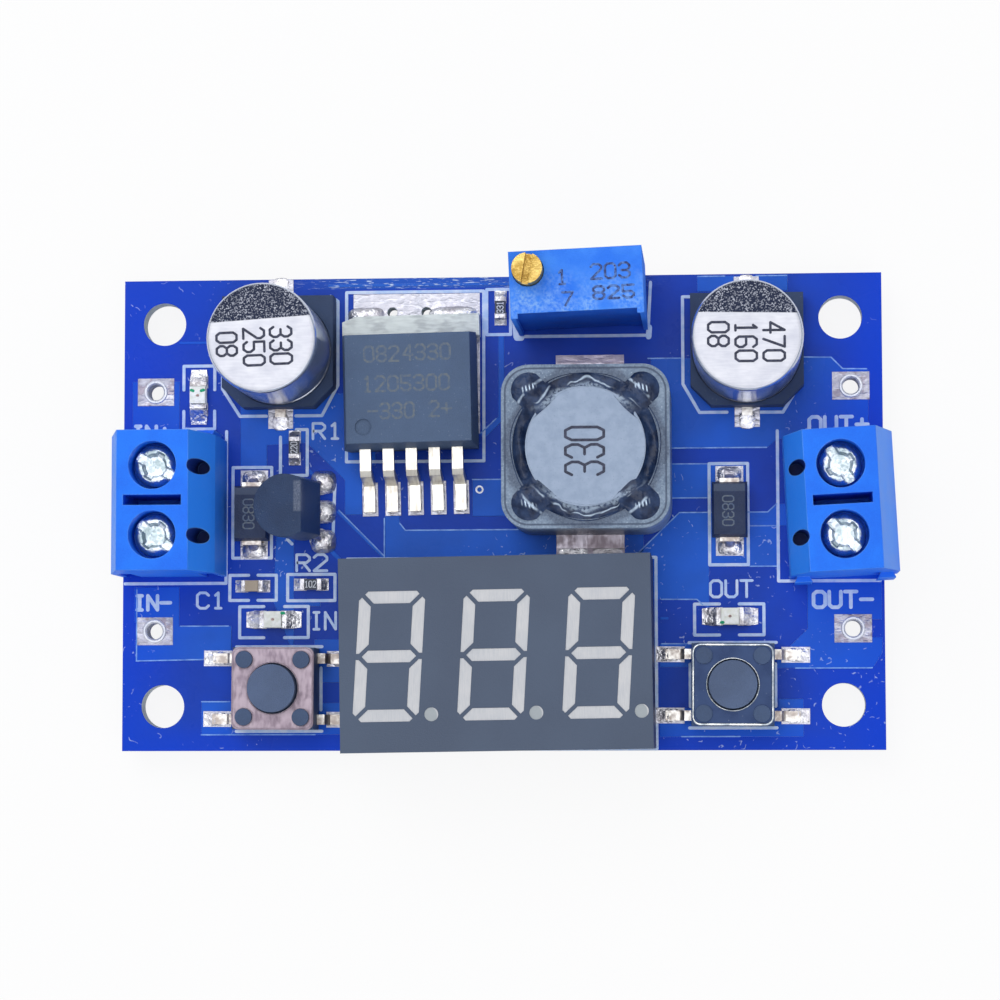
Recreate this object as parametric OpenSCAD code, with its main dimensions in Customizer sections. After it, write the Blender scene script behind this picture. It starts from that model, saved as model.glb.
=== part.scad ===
// Step-down converter module with a three-digit voltmeter.
// The origin is the centre of the four mounting holes, on the board's underside.
// X runs from the input terminals to the output terminals, Y away from the
// display and Z up out of the component side.  Sizes are in millimetres.

/* [Circuit board] */
// Length of the board along X
board_length = 56.5; // [55.5:0.1:60]
// Width of the board along Y
board_width = 35.2; // [35:0.1:40]
// Thickness of the board
board_thickness = 1.6; // [1.2:0.1:2]
// Distance between the mounting holes along X
hole_spacing_x = 50.4; // [49.5:0.1:51]
// Distance between the mounting holes along Y
hole_spacing_y = 28.6; // [28:0.1:29]
// Diameter of the mounting holes
mounting_hole_d = 3.2; // [2.6:0.1:3.4]
// Diameter of the plated holes in the four wire pads
wire_hole_d = 1.3; // [1:0.1:1.6]
// How far the trimmed pins reach below the board
pin_reach = 1.8; // [1.4:0.1:2.5]

/* [Screw terminals] */
// Distance between the two poles of a terminal
terminal_pitch = 5; // [4.8:0.05:5.08]
// Height of a terminal above the board
terminal_height = 10; // [9.8:0.1:11]
// Diameter of the well above each screw
well_d = 3.45; // [3.3:0.05:3.6]
// Thread diameter of the clamp screws
clamp_screw_d = 2.5; // [2:0.1:2.5]

/* [Capacitors] */
// Diameter of the two capacitor cans
can_d = 8; // [7:0.1:8.2]
// Height of the capacitors above the board
can_height = 10.2; // [9:0.1:12]

/* [Inductor] */
// Side of the square inductor along X
inductor_width = 12.1; // [11.8:0.1:12.3]
// Height of the inductor above the board
inductor_height = 8; // [7:0.1:9]

/* [Display] */
// Length of the display along X
display_length = 22.5; // [22.5:0.1:23]
// Depth of the display along Y
display_depth = 14; // [13.8:0.1:14.2]
// Height of the display above the board
display_height = 7.2; // [6.5:0.1:9]
// Height of one digit
digit_height = 9.37; // [9:0.01:9.4]
// Distance between digits
digit_pitch = 7.54; // [7.4:0.01:7.6]

/* [Switches] */
// Side of the square switch housings
switch_side = 6; // [5.8:0.1:6.2]
// Diameter of the switch buttons
button_d = 3.5; // [3:0.1:3.6]
// How far a button travels
button_travel = 0.25; // [0.1:0.05:0.25]

/* [Trimmer] */
// Height of the trimmer above the board
trimmer_height = 10.03; // [9.9:0.01:11]
// How far the trimmer leans back
trimmer_lean = 0; // [0:0.5:4]

/* [Hidden] */
$fn = 48;

// A cut runs past the faces that it opens by this much.
past = 0.5;
// Thickness of the tinned copper lands on the board.
land = 0.05;

// Places on the board: X, Y and the turn about Z.
input_terminal_at = [-24.3, 0.4, 0];
output_terminal_at = [24.92, 0.13, 182.9];
input_capacitor_at = [-16.43, 11.97, 0];
output_capacitor_at = [18.3, 11.8, 0];
regulator_at = [-6.46, 8.89, 1.2];
inductor_at = [6.68, 4.17, 0];
trimmer_at = [6.15, 15.72, 2.3];
display_at = [0.1, -10.6, 0.8];
left_switch_at = [-16.49, -13.02, -0.45];
right_switch_at = [17.1, -12.84, -0.45];
left_diode_at = [-18.39, -0.05, 0];
right_diode_at = [16.95, 0, 0];
transistor_at = [-13.45, 0.13, 0];
controller_at = [0.5, 3.5, 90];

// Wire pads: the square lands with a plated hole beside each terminal.
wire_pads = [[-25.85, 9.2], [-25.85, -8.7], [25.93, 9.2], [25.93, -8.7]];
wire_pad_size = [2.75, 2.07];
// Two vent holes through the land behind the regulator's tab.
vent_holes = [[-8.05, 15.02], [-5.5, 15.02]];
vent_hole_r = 0.38;

// Chips: X, Y, turn, length, width, height.
resistor_chips = [
  [-15.36, 4.93, 90, 1.6, 0.8, 0.45],
  [-14.1, -5.28, 0, 1.6, 0.8, 0.45],
  [0.05, 15.26, 90, 1.6, 0.8, 0.45]
];
capacitor_chips = [[-18.48, -5.38, 0, 1.6, 0.8, 0.8]];
led_chips = [
  [-22.59, 8.9, 90, 2, 1.25, 0.8],
  [-16.89, -7.88, 0, 2, 1.25, 0.8],
  [16.93, -7.79, 0, 2, 1.25, 0.8]
];
all_chips = concat(resistor_chips, capacitor_chips, led_chips);
chip_cap_length = 0.32;

// Screw terminal: heights above the board and sizes about one pole.
housing_length = 2 * terminal_pitch + 0.1;
housing_inner_x = 3.85;
housing_outer_x = -4;
chamber_x = 4.1;
chamber_y = 3.7;
chamber_top = terminal_height - 3;
ledge_top = chamber_top + 0.6;
cage_x = 3.6;
cage_y = 3.4;
cage_bottom = 0.25;
cage_height = 4.5;
cage_wall = 0.45;
cage_boss = 1.2;
cage_travel = 2;
contact_bottom = 2.9;
contact_thickness = 0.5;
contact_width = 2.2;
contact_pin_x = 2.6;
contact_pin_width = 1;
screw_head_d = 3;
screw_head_height = 1.5;
screw_tip = contact_bottom + contact_thickness + 0.2;
screw_slot_turn = -33;
running_clearance = 0.05;

// Capacitor: heights above its land.
can_bottom = 0.9;
can_wall = 0.3;
can_groove_z = 2.2;
capacitor_base_side = 8.3;
capacitor_lead_x = 0.8;
capacitor_lead_reach = 4.75;

// Regulator: half sizes at the parting line, heights above its land.
regulator_half_x = 4.95;
regulator_half_y = 4.35;
regulator_height = 4.35;
regulator_parting = 2.6;
regulator_tab_half = 5.1;
regulator_tab_end = 5.75;
regulator_tab_thickness = 1.27;
regulator_lead_pitch = 1.7;
regulator_lead_width = 0.82;
regulator_lead_thickness = 0.5;
regulator_lead_tip = -8.78;

// Inductor
inductor_depth = inductor_width - 0.3;
inductor_corner = 2;
inductor_bore_r = 5.25;
inductor_lobe_r = 1.15;
inductor_lobe_at = 4.05;
inductor_disc_r = 4.33;
inductor_clip_width = 5;
inductor_clip_reach = 6.9;
inductor_clip_thickness = 0.25;

// Trimmer
trimmer_length = 9.53;
trimmer_depth = 4.83;
trimmer_wall = 0.6;
trimmer_screw_at = [-3.4, 1];
trimmer_shank_r = 0.5;
trimmer_head_r = 1.1;
trimmer_neck_z = trimmer_height - 1;
trimmer_cavity_top = trimmer_height - 1.6;
trimmer_base_z = 0.6;
trimmer_floor = 1.5;
slider_bottom = 1.8;
slider_height = 1.3;
trimmer_pin_pitch = 2.54;
trimmer_pin_r = 0.25;

// Display
digit_width = 4.78;
segment_width = 0.88;
segment_gap = 0.21;
segment_tip = 0.22;
digit_corner = 0.64;
digit_slant = 4;
dot_at = [3, -4.2];
dot_r = 0.5;
digit_row = [-0.1, -0.1];
display_wall = 0.8;
display_back = 1.55;
display_stand_off = 0.1;
display_row = 5.08;
display_pin_pitch = 2.54;
display_pin_r = 0.25;

// Switch: heights above its land.
switch_body_top = 3.2;
switch_cover_top = 3.5;
switch_top = 4.35;
switch_floor = 1.2;
switch_cavity_r = 2.35;
switch_post_at = 2.1;
switch_post_r = 0.62;
switch_lead_pitch = 4.5;
switch_lead_width = 0.75;
button_flange_r = 2.1;
dome_r = 2;
dome_height = 0.75;

// Diodes
diode_length = 4.1;
diode_width = 2.6;
diode_height = 2.2;
diode_lead_width = 1.45;

// Transistor
transistor_r = 2.3;
transistor_flat = 1.3;
transistor_body_height = 4.7;
transistor_body_z = 2.6;
transistor_lean = 10;
transistor_shift = -0.92;
transistor_pitch = 1.27;
transistor_hole_pitch = 2.05;
transistor_lead_r = 0.23;

// Controller chip under the board
controller_length = 6.5;
controller_width = 4.4;
controller_height = 1;
controller_pitch = 0.65;

// Holes drilled for the pins: X, Y, radius.
function turned(p, a) = [p[0] * cos(a) - p[1] * sin(a), p[0] * sin(a) + p[1] * cos(a)];
function placed(p, at) = [at[0], at[1]] + turned(p, at[2]);
terminal_holes = [
  for (at = [input_terminal_at, output_terminal_at], side = [-1, 1])
    concat(placed([contact_pin_x, side * terminal_pitch / 2], at), 0.7)
];
trimmer_holes = [for (i = [-1, 0, 1]) concat(placed([i * trimmer_pin_pitch, 0], trimmer_at), 0.42)];
display_holes = [
  for (i = [-2.5:2.5], side = [-1, 1])
    concat(placed([i * display_pin_pitch, side * display_row], display_at), 0.45)
];
transistor_holes = [
  for (i = [-1, 0, 1]) [transistor_at[0], transistor_at[1] + i * transistor_hole_pitch, 0.4]
];
pin_holes = concat(terminal_holes, trimmer_holes, display_holes, transistor_holes);

module on_board(at) {
  translate([at[0], at[1], board_thickness]) rotate(at[2]) children();
}

module on_lands(at) {
  translate([0, 0, land]) on_board(at) children();
}

module block(x, y, z) {
  translate([x[0], y[0], z[0]]) cube([x[1] - x[0], y[1] - y[0], z[1] - z[0]]);
}

// A block centred on X and Y.
module slab(size, z) {
  block([-size[0] / 2, size[0] / 2], [-size[1] / 2, size[1] / 2], z);
}

// A prism whose outline, drawn in Y and Z, runs along X.
module along_x(length) {
  translate([-length / 2, 0, 0]) rotate([90, 0, 90]) linear_extrude(length) children();
}

// A prism whose outline, drawn in X and Z, runs along Y.
module along_y(length) {
  translate([0, length / 2, 0]) rotate([90, 0, 0]) linear_extrude(length) children();
}

// A round bar from one point to another.
module rod(from, to, r) {
  way = to - from;
  translate(from) rotate([0, acos(way[2] / norm(way)), atan2(way[1], way[0])]) cylinder(h = norm(way), r = r);
}

module rounded_square(x, y, r) {
  square([x - 2 * r, y], center = true);
  square([x, y - 2 * r], center = true);
  for (i = [-1, 1], j = [-1, 1])
    translate([i * (x / 2 - r), j * (y / 2 - r)]) circle(r);
}

// ---- circuit board ----

module mounting_hole_places() {
  for (i = [-1, 1], j = [-1, 1])
    translate([i * hole_spacing_x / 2, j * hole_spacing_y / 2, 0]) children();
}

module circuit_board() {
  color("#1d3fb4") difference() {
    slab([board_length, board_width], [0, board_thickness]);
    translate([0, 0, -past]) {
      mounting_hole_places() cylinder(h = board_thickness + 2 * past, d = mounting_hole_d);
      for (p = wire_pads) translate(p) cylinder(h = board_thickness + 2 * past, d = wire_hole_d);
      for (p = vent_holes) translate(p) cylinder(h = board_thickness + 2 * past, r = vent_hole_r);
      for (p = pin_holes) translate([p[0], p[1], 0]) cylinder(h = board_thickness + 2 * past, r = p[2]);
    }
  }
}

// Lands as blocks in X and Y, all of one thickness.
module land_block(x, y) {
  block(x, y, [0, land]);
}

module solder_pads() {
  color("#c9ccd2") {
    for (p = wire_pads, z = [-land, board_thickness]) difference() {
      translate([p[0], p[1], z]) slab(wire_pad_size, [0, land]);
      translate([p[0], p[1], z - past]) cylinder(h = land + 2 * past, d = wire_hole_d);
    }
    for (p = pin_holes) translate([p[0], p[1], -land]) difference() {
      cylinder(h = land, r = p[2] + 0.4);
      translate([0, 0, -past]) cylinder(h = land + 2 * past, r = p[2]);
    }
    for (p = transistor_holes) translate([p[0], p[1], board_thickness]) difference() {
      cylinder(h = land, r = p[2] + 0.4);
      translate([0, 0, -past]) cylinder(h = land + 2 * past, r = p[2]);
    }
    for (at = [input_capacitor_at, output_capacitor_at], side = [-1, 1])
      on_board(at) mirror([0, side < 0 ? 1 : 0, 0]) land_block([-0.93, 0.93], [1.6, 5.6]);
    on_board(regulator_at) {
      for (i = [-2:2]) translate([i * regulator_lead_pitch, 0, 0]) land_block([-0.58, 0.58], [-9.05, -6.55]);
    }
    difference() {
      translate([0, 0, board_thickness]) land_block([-10.97, -1.5], [5.9, 16.4]);
      for (p = vent_holes)
        translate([p[0], p[1], board_thickness - past]) cylinder(h = 2 * past, r = vent_hole_r);
    }
    for (side = [0, 1])
      on_board(inductor_at) mirror([0, side, 0]) land_block([-2.53, 2.53], [3.6, 7.5]);
    for (at = [left_switch_at, right_switch_at], i = [-1, 1], j = [-1, 1])
      on_board(at) translate([i * 4.6, j * switch_lead_pitch / 2, 0]) land_block([-1.05, 1.05], [-0.58, 0.58]);
    for (at = [left_diode_at, right_diode_at], side = [0, 1])
      on_board(at) mirror([0, side, 0]) land_block([-1.03, 1.03], [1.15, 3.32]);
    for (c = all_chips, side = [0, 1])
      on_board(c) mirror([side, 0, 0]) land_block([c[3] / 2 - 0.45, c[3] / 2 + 0.5], [-c[4] / 2 - 0.05, c[4] / 2 + 0.05]);
    translate([controller_at[0], controller_at[1], -land]) rotate(controller_at[2])
      for (i = [-4.5:4.5], side = [0, 1])
        mirror([0, side, 0]) translate([i * controller_pitch, 0, 0]) land_block([-0.17, 0.17], [2.4, 3.5]);
  }
}

// A cone of solder around one pin below the board; the pin's own shape is cut out.
module solder_cone(r, height) {
  translate([0, 0, -land - height]) cylinder(h = height, r1 = r * 0.55, r2 = r);
}

module solder_joints() {
  color("#b9bcc2") {
    difference() {
      for (p = terminal_holes) translate([p[0], p[1], 0]) solder_cone(1.08, 1.2);
      input_terminal_pins();
      output_terminal_pins();
    }
    difference() {
      for (p = trimmer_holes) translate([p[0], p[1], 0]) solder_cone(0.8, 0.9);
      trimmer_pins();
    }
    difference() {
      for (p = display_holes) translate([p[0], p[1], 0]) solder_cone(0.83, 0.9);
      display_pins();
    }
    difference() {
      for (p = transistor_holes) translate([p[0], p[1], 0]) solder_cone(0.78, 0.9);
      transistor_leads();
    }
  }
}

// ---- screw terminals ----

module pole_places() {
  for (side = [-1, 1]) translate([0, side * terminal_pitch / 2, 0]) children();
}

module wire_funnel() {
  mouth = 1.65;
  throat = 1.2;
  far = housing_outer_x - past;
  intersection() {
    along_y(2 * mouth) polygon([
      [far, 0.25], [far, 3.6], [housing_outer_x, 3.4],
      [-chamber_x / 2 + 0.1, contact_bottom], [-chamber_x / 2 + 0.1, 0.75], [housing_outer_x, 0.35]
    ]);
    linear_extrude(terminal_height) polygon([
      [far, -mouth], [housing_outer_x, -mouth], [-chamber_x / 2 + 0.1, -throat],
      [-chamber_x / 2 + 0.1, throat], [housing_outer_x, mouth], [far, mouth]
    ]);
  }
}

// Dovetail rib that locks one terminal to its neighbour.
module dovetail(z, extra) {
  translate([0, 0, z[0]]) linear_extrude(z[1] - z[0])
    polygon([[-0.45 - extra, -extra], [0.45 + extra, -extra], [0.65 + extra, 0.45 + extra], [-0.65 - extra, 0.45 + extra]]);
}

module terminal_housing() {
  shoulder = terminal_height - 4.4;
  color("#2f7df0") union() {
    difference() {
      along_y(housing_length) polygon([
        [housing_outer_x, 0], [housing_inner_x, 0], [housing_inner_x, shoulder], [2.6, terminal_height],
        [-2.6, terminal_height], [housing_outer_x, 4.5]
      ]);
      pole_places() {
        slab([chamber_x, chamber_y], [-past, chamber_top]);
        cylinder(h = ledge_top, d = clamp_screw_d + 0.2);
        translate([0, 0, ledge_top]) cylinder(h = terminal_height, d = well_d);
        wire_funnel();
        block([0, contact_pin_x + 0.25], [-contact_width / 2, contact_width / 2],
              [-past, contact_bottom + contact_thickness]);
        translate([3.05, 0, terminal_height - 4.8]) cylinder(h = 5, r = 0.55);
      }
      block([-2.1, 2.1], [-0.37, 0.37], [contact_bottom + 1.1, terminal_height + past]);
      for (x = [-3.05, 2.95])
        translate([x, -housing_length / 2, 0]) dovetail([-past, 4.6], 0.06);
    }
    for (x = [-3.05, 2.95])
      translate([x, housing_length / 2, 0]) dovetail([0.6, 4.4], 0);
  }
}

module terminal_pins() {
  color("#c8cacd") pole_places() {
    block([-1.6, contact_pin_x + 0.25], [-contact_width / 2, contact_width / 2],
          [contact_bottom, contact_bottom + contact_thickness]);
    block([contact_pin_x - 0.25, contact_pin_x + 0.25], [-contact_pin_width / 2, contact_pin_width / 2],
          [-board_thickness - pin_reach, contact_bottom]);
  }
}

module clamp_screw() {
  head_top = ledge_top + screw_head_height;
  color("#b8bcc2") difference() {
    union() {
      translate([0, 0, screw_tip]) cylinder(h = ledge_top - screw_tip + 0.1, d = clamp_screw_d);
      translate([0, 0, ledge_top]) cylinder(h = screw_head_height - 0.25, d = screw_head_d);
      translate([0, 0, head_top - 0.25]) cylinder(h = 0.25, d1 = screw_head_d, d2 = screw_head_d - 0.5);
    }
    rotate(screw_slot_turn) slab([screw_head_d + past, 0.55], [head_top - 0.7, head_top + past]);
    rotate(screw_slot_turn + 90) slab([1.7, 0.45], [head_top - 0.7, head_top + past]);
  }
}

module clamp_cage() {
  cage_top = cage_bottom + cage_height;
  color("#d0d2d4") difference() {
    slab([cage_x, cage_y], [cage_bottom, cage_top]);
    slab([cage_x + 2 * past, cage_y - 2 * cage_wall], [cage_bottom + cage_wall, cage_top - cage_boss]);
    cylinder(h = cage_top + past, d = clamp_screw_d + 2 * running_clearance);
  }
}

// The parts of one pole; side is 1 for the pole at the terminal's own +Y end.
module at_pole(at, side) {
  on_board(at) translate([0, side * terminal_pitch / 2, 0]) children();
}

module input_terminal_housing() {
  on_board(input_terminal_at) terminal_housing();
}
module input_terminal_pins() {
  on_board(input_terminal_at) terminal_pins();
}
module input_plus_screw() {
  at_pole(input_terminal_at, 1) clamp_screw();
}
module input_minus_screw() {
  at_pole(input_terminal_at, -1) clamp_screw();
}
module input_plus_cage() {
  at_pole(input_terminal_at, 1) clamp_cage();
}
module input_minus_cage() {
  at_pole(input_terminal_at, -1) clamp_cage();
}
module output_terminal_housing() {
  on_board(output_terminal_at) terminal_housing();
}
module output_terminal_pins() {
  on_board(output_terminal_at) terminal_pins();
}
module output_plus_screw() {
  at_pole(output_terminal_at, -1) clamp_screw();
}
module output_minus_screw() {
  at_pole(output_terminal_at, 1) clamp_screw();
}
module output_plus_cage() {
  at_pole(output_terminal_at, -1) clamp_cage();
}
module output_minus_cage() {
  at_pole(output_terminal_at, 1) clamp_cage();
}

// ---- capacitors ----

module capacitor_can() {
  r = can_d / 2;
  color("#c6c8cc") rotate_extrude() difference() {
    union() {
      translate([0, can_bottom]) square([r, can_height - can_bottom - 0.4]);
      translate([0, can_bottom]) square([r - 0.4, can_height - can_bottom]);
      translate([r - 0.4, can_height - 0.4]) circle(0.4);
    }
    difference() {
      translate([0, can_bottom - past]) square([r - can_wall, can_height - can_bottom - can_wall + past]);
      translate([r + 0.15, can_groove_z]) circle(0.45 + can_wall);
    }
    translate([r + 0.15, can_groove_z]) circle(0.45);
  }
}

module capacitor_seal() {
  r = can_d / 2;
  color("#2a2a2c") difference() {
    rotate_extrude() difference() {
      translate([0, can_bottom]) square([r - can_wall, 2]);
      translate([r + 0.15, can_groove_z]) circle(0.45 + can_wall);
    }
    for (side = [-1, 1]) translate([0, side * 1.2, 0]) cylinder(h = 4, r = 0.3);
  }
}

module capacitor_foil_roll() {
  color("#8c7a5a") translate([0, 0, 3.2]) cylinder(h = can_height - 3.9, r = can_d / 2 - 0.55);
}

module capacitor_base() {
  half = capacitor_base_side / 2;
  chamfer = 1.5;
  color("#1b1c1f") difference() {
    linear_extrude(1.9) polygon([
      [-half + chamfer, -half], [half - chamfer, -half], [half, -half + chamfer],
      [half, half], [-half, half], [-half, -half + chamfer]
    ]);
    translate([0, 0, can_bottom]) cylinder(h = 2, d = can_d + 0.06);
    slab([capacitor_lead_x, capacitor_base_side + 1], [-past, 0.25]);
    for (side = [-1, 1]) translate([0, side * 1.2, 0]) cylinder(h = 4, r = 0.3);
  }
}

// Two flat leads that leave the base, each with its wire up through the seal.
module capacitor_lead_pair() {
  color("#c9ccd0") for (side = [0, 1]) mirror([0, side, 0]) {
    block([-capacitor_lead_x / 2, capacitor_lead_x / 2], [0.8, capacitor_lead_reach], [0, 0.25]);
    translate([0, 1.2, 0.1]) cylinder(h = 3.1, r = 0.3);
  }
}

module both_capacitors() {
  for (at = [input_capacitor_at, output_capacitor_at]) on_lands(at) children();
}

module input_capacitor_can() {
  on_lands(input_capacitor_at) capacitor_can();
}
module input_capacitor_base() {
  on_lands(input_capacitor_at) capacitor_base();
}
module output_capacitor_can() {
  on_lands(output_capacitor_at) capacitor_can();
}
module output_capacitor_base() {
  on_lands(output_capacitor_at) capacitor_base();
}
module capacitor_foil_rolls() {
  both_capacitors() capacitor_foil_roll();
}
module capacitor_seals() {
  both_capacitors() capacitor_seal();
}
module capacitor_leads() {
  both_capacitors() capacitor_lead_pair();
}

// ---- regulator ----

module regulator_tab_shape() {
  linear_extrude(regulator_tab_thickness) polygon([
    [-regulator_tab_half + 0.8, -2.6], [regulator_tab_half - 0.8, -2.6], [regulator_tab_half - 0.8, 4.1],
    [regulator_tab_half, 4.1], [regulator_tab_half, regulator_tab_end], [-regulator_tab_half + 1, regulator_tab_end],
    [-regulator_tab_half, regulator_tab_end - 0.4], [-regulator_tab_half, 4.1], [-regulator_tab_half + 0.8, 4.1]
  ]);
}

module regulator_lead_shapes() {
  t = regulator_lead_thickness;
  z = regulator_parting;
  for (i = [-2:2]) translate([i * regulator_lead_pitch, 0, 0]) along_x(regulator_lead_width) polygon([
    [-3.3, z - t / 2], [-3.3, z + t / 2], [-5.9, z + t / 2], [-6.35, z],
    [-6.85, t], [regulator_lead_tip, t], [regulator_lead_tip, 0], [-6.65, 0],
    [-6.35, 0.2], [-5.75, z - t / 2]
  ]);
}

module regulator_body() {
  draft = 0.35;
  color("#3b4049") on_lands(regulator_at) difference() {
    intersection() {
      along_y(4 * regulator_half_y) polygon([
        [-regulator_half_x + 0.15, 0], [regulator_half_x - 0.15, 0], [regulator_half_x, regulator_parting],
        [regulator_half_x - draft, regulator_height], [-regulator_half_x + draft, regulator_height],
        [-regulator_half_x, regulator_parting]
      ]);
      along_x(4 * regulator_half_x) polygon([
        [-regulator_half_y + 0.1, 0], [regulator_half_y - 0.2, 0], [regulator_half_y - 0.2, regulator_parting],
        [regulator_half_y - draft, regulator_height], [-regulator_half_y + draft, regulator_height],
        [-regulator_half_y, regulator_parting]
      ]);
    }
    regulator_tab_shape();
    regulator_lead_shapes();
    translate([-3.35, -2.8, regulator_height - 0.15]) cylinder(h = 1, r = 0.6);
  }
}

module regulator_tab() {
  color("#d6d8da") on_lands(regulator_at) regulator_tab_shape();
}

module regulator_leads() {
  color("#dcdedf") on_lands(regulator_at) regulator_lead_shapes();
}

// ---- inductor ----

// The opening of the shield: a round bore with a pocket at each corner.
module inductor_opening() {
  circle(inductor_bore_r);
  for (i = [-1, 1], j = [-1, 1])
    translate([i * inductor_lobe_at, j * inductor_lobe_at]) circle(inductor_lobe_r);
}

module inductor_shield() {
  bottom = inductor_clip_thickness;
  color("#70757c") on_lands(inductor_at) translate([0, 0, bottom]) linear_extrude(inductor_height - bottom)
    difference() {
      rounded_square(inductor_width, inductor_depth, inductor_corner);
      inductor_opening();
    }
}

module inductor_core() {
  bottom = inductor_clip_thickness;
  color("#a9b4c2") on_lands(inductor_at) {
    translate([0, 0, bottom]) cylinder(h = 1.3, r = inductor_bore_r - 0.15);
    cylinder_from = bottom + 1.2;
    translate([0, 0, cylinder_from]) cylinder(h = inductor_height - 1.2 - cylinder_from, r = 2.3);
    translate([0, 0, inductor_height - 1.3]) cylinder(h = 1.32, r = inductor_disc_r);
  }
}

module inductor_winding() {
  color("#b4683a") on_lands(inductor_at) translate([0, 0, 1.65]) difference() {
    cylinder(h = inductor_height - 3.1, r = inductor_disc_r - 0.1);
    translate([0, 0, -past]) cylinder(h = inductor_height, r = 2.35);
  }
}

module inductor_terminals() {
  half = inductor_clip_width / 2;
  color("#c2c0c4") on_lands(inductor_at) for (side = [0, 1]) mirror([0, side, 0])
    block([-half, half], [2.8, inductor_clip_reach], [0, inductor_clip_thickness]);
}

module inductor_adhesive() {
  color("#17181b") on_lands(inductor_at) {
    translate([0, 0, inductor_height - 1.2]) linear_extrude(0.7) difference() {
      inductor_opening();
      circle(inductor_disc_r);
    }
    translate([0, 0, inductor_height - 0.55]) linear_extrude(0.45) difference() {
      for (i = [-1, 1], j = [-1, 1])
        translate([i * inductor_lobe_at, j * inductor_lobe_at]) circle(inductor_lobe_r);
      circle(inductor_disc_r);
    }
  }
}

// ---- trimmer ----

// The trimmer's own frame: its lean is about the foot of its back edge.
module trimmer_frame() {
  on_board(trimmer_at) translate([0, 0, 0.05]) rotate([-trimmer_lean, 0, 0]) children();
}

module trimmer_housing() {
  inner_x = trimmer_length - 2 * trimmer_wall;
  inner_y = trimmer_depth - 2 * trimmer_wall;
  color("#2158d8") trimmer_frame() difference() {
    slab([trimmer_length, trimmer_depth], [0.15, trimmer_height]);
    slab([inner_x, inner_y], [-past, trimmer_cavity_top]);
    slab([trimmer_length + 1, trimmer_depth - 1.6], [-past, trimmer_base_z]);
    slab([trimmer_length - 2.4, trimmer_depth + 1], [-past, trimmer_base_z]);
    translate(trimmer_screw_at) {
      cylinder(h = trimmer_height, r = trimmer_shank_r + running_clearance);
      translate([0, 0, trimmer_neck_z]) cylinder(h = 2, r = trimmer_head_r + running_clearance);
    }
    translate([0, -trimmer_depth / 2, 0]) along_y(0.7) polygon([
      [-4.45, 0], [4.45, 0], [4.45, 9.4], [4.1, trimmer_height + past], [-4.1, trimmer_height + past], [-4.45, 9.4]
    ]);
  }
}

module trimmer_screw() {
  head_top = trimmer_height + 1.4;
  color("#c9a24a") trimmer_frame() translate(trimmer_screw_at) difference() {
    union() {
      translate([0, 0, trimmer_floor + 0.1]) cylinder(h = trimmer_neck_z + 0.6 - trimmer_floor, r = trimmer_shank_r);
      translate([0, 0, trimmer_neck_z + 0.65]) cylinder(h = head_top - trimmer_neck_z - 0.65, r = trimmer_head_r);
    }
    rotate(78) slab([3, 0.5], [head_top - 0.7, head_top + past]);
  }
}

module trimmer_seal() {
  color("#2b2b2b") trimmer_frame() translate([trimmer_screw_at[0], trimmer_screw_at[1], trimmer_neck_z + 0.05]) difference() {
    cylinder(h = 0.5, r = trimmer_head_r + 0.02);
    translate([0, 0, -past]) cylinder(h = 2, r = trimmer_shank_r + 0.04);
  }
}

module trimmer_slider() {
  color("#b98a4c") trimmer_frame() difference() {
    block([-4.05, 0.3], [-0.2, 1.7], [slider_bottom, slider_bottom + slider_height]);
    translate(trimmer_screw_at) cylinder(h = trimmer_height, r = trimmer_shank_r + running_clearance);
  }
}

module trimmer_element() {
  color("#e6e0d2") trimmer_frame() block([-3.9, 3.9], [-1.5, -0.7], [trimmer_floor, trimmer_cavity_top - 0.1]);
}

module trimmer_base() {
  inner_x = trimmer_length - 2 * trimmer_wall;
  inner_y = trimmer_depth - 2 * trimmer_wall;
  color("#1d2a52") trimmer_frame() difference() {
    slab([inner_x, inner_y], [trimmer_base_z, trimmer_floor]);
    trimmer_pin_shapes();
  }
}

module trimmer_pin_shapes() {
  for (i = [-1, 0, 1]) translate([i * trimmer_pin_pitch, 0, 0]) {
    translate([0, 0, -board_thickness - pin_reach]) cylinder(h = board_thickness + pin_reach + trimmer_floor - 0.3, r = trimmer_pin_r);
    block([-trimmer_pin_r, trimmer_pin_r], [-1.1, trimmer_pin_r], [trimmer_floor - 0.35, trimmer_floor]);
  }
}

module trimmer_pins() {
  color("#cfd1d3") trimmer_frame() trimmer_pin_shapes();
}

// ---- display ----

// Seven segments with mitred gaps; the four corners of the digit are cut off.
module digit_outline() {
  x = digit_width / 2;
  y = digit_height / 2;
  w = segment_width;
  far = (digit_corner + segment_gap) / 2;
  near = (digit_corner - segment_gap) / 2;
  for (j = [-1, 1]) polygon([
    [digit_corner - x, j * y], [far - x, j * (y - near)], [w + segment_gap - x, j * (y - w)],
    [x - w - segment_gap, j * (y - w)], [x - far, j * (y - near)], [x - digit_corner, j * y]
  ]);
  for (i = [-1, 1], j = [-1, 1]) polygon([
    [i * x, j * (y - digit_corner)], [i * (x - near), j * (y - far)], [i * (x - w), j * (y - w - segment_gap)],
    [i * (x - w), j * w], [i * (x - segment_tip), j * segment_tip], [i * x, j * segment_tip]
  ]);
  tip = x - 2 * segment_gap;
  polygon([
    [-tip, 0], [w / 2 - tip, w / 2], [tip - w / 2, w / 2], [tip, 0], [tip - w / 2, -w / 2], [w / 2 - tip, -w / 2]
  ]);
}

// All three digits with their slant, and the round points beside them.
module digit_windows() {
  for (k = [-1, 0, 1]) translate([digit_row[0] + k * digit_pitch, digit_row[1]]) {
    multmatrix([[1, tan(digit_slant), 0, 0], [0, 1, 0, 0], [0, 0, 1, 0], [0, 0, 0, 1]]) digit_outline();
    translate(dot_at) circle(dot_r);
  }
}

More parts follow.
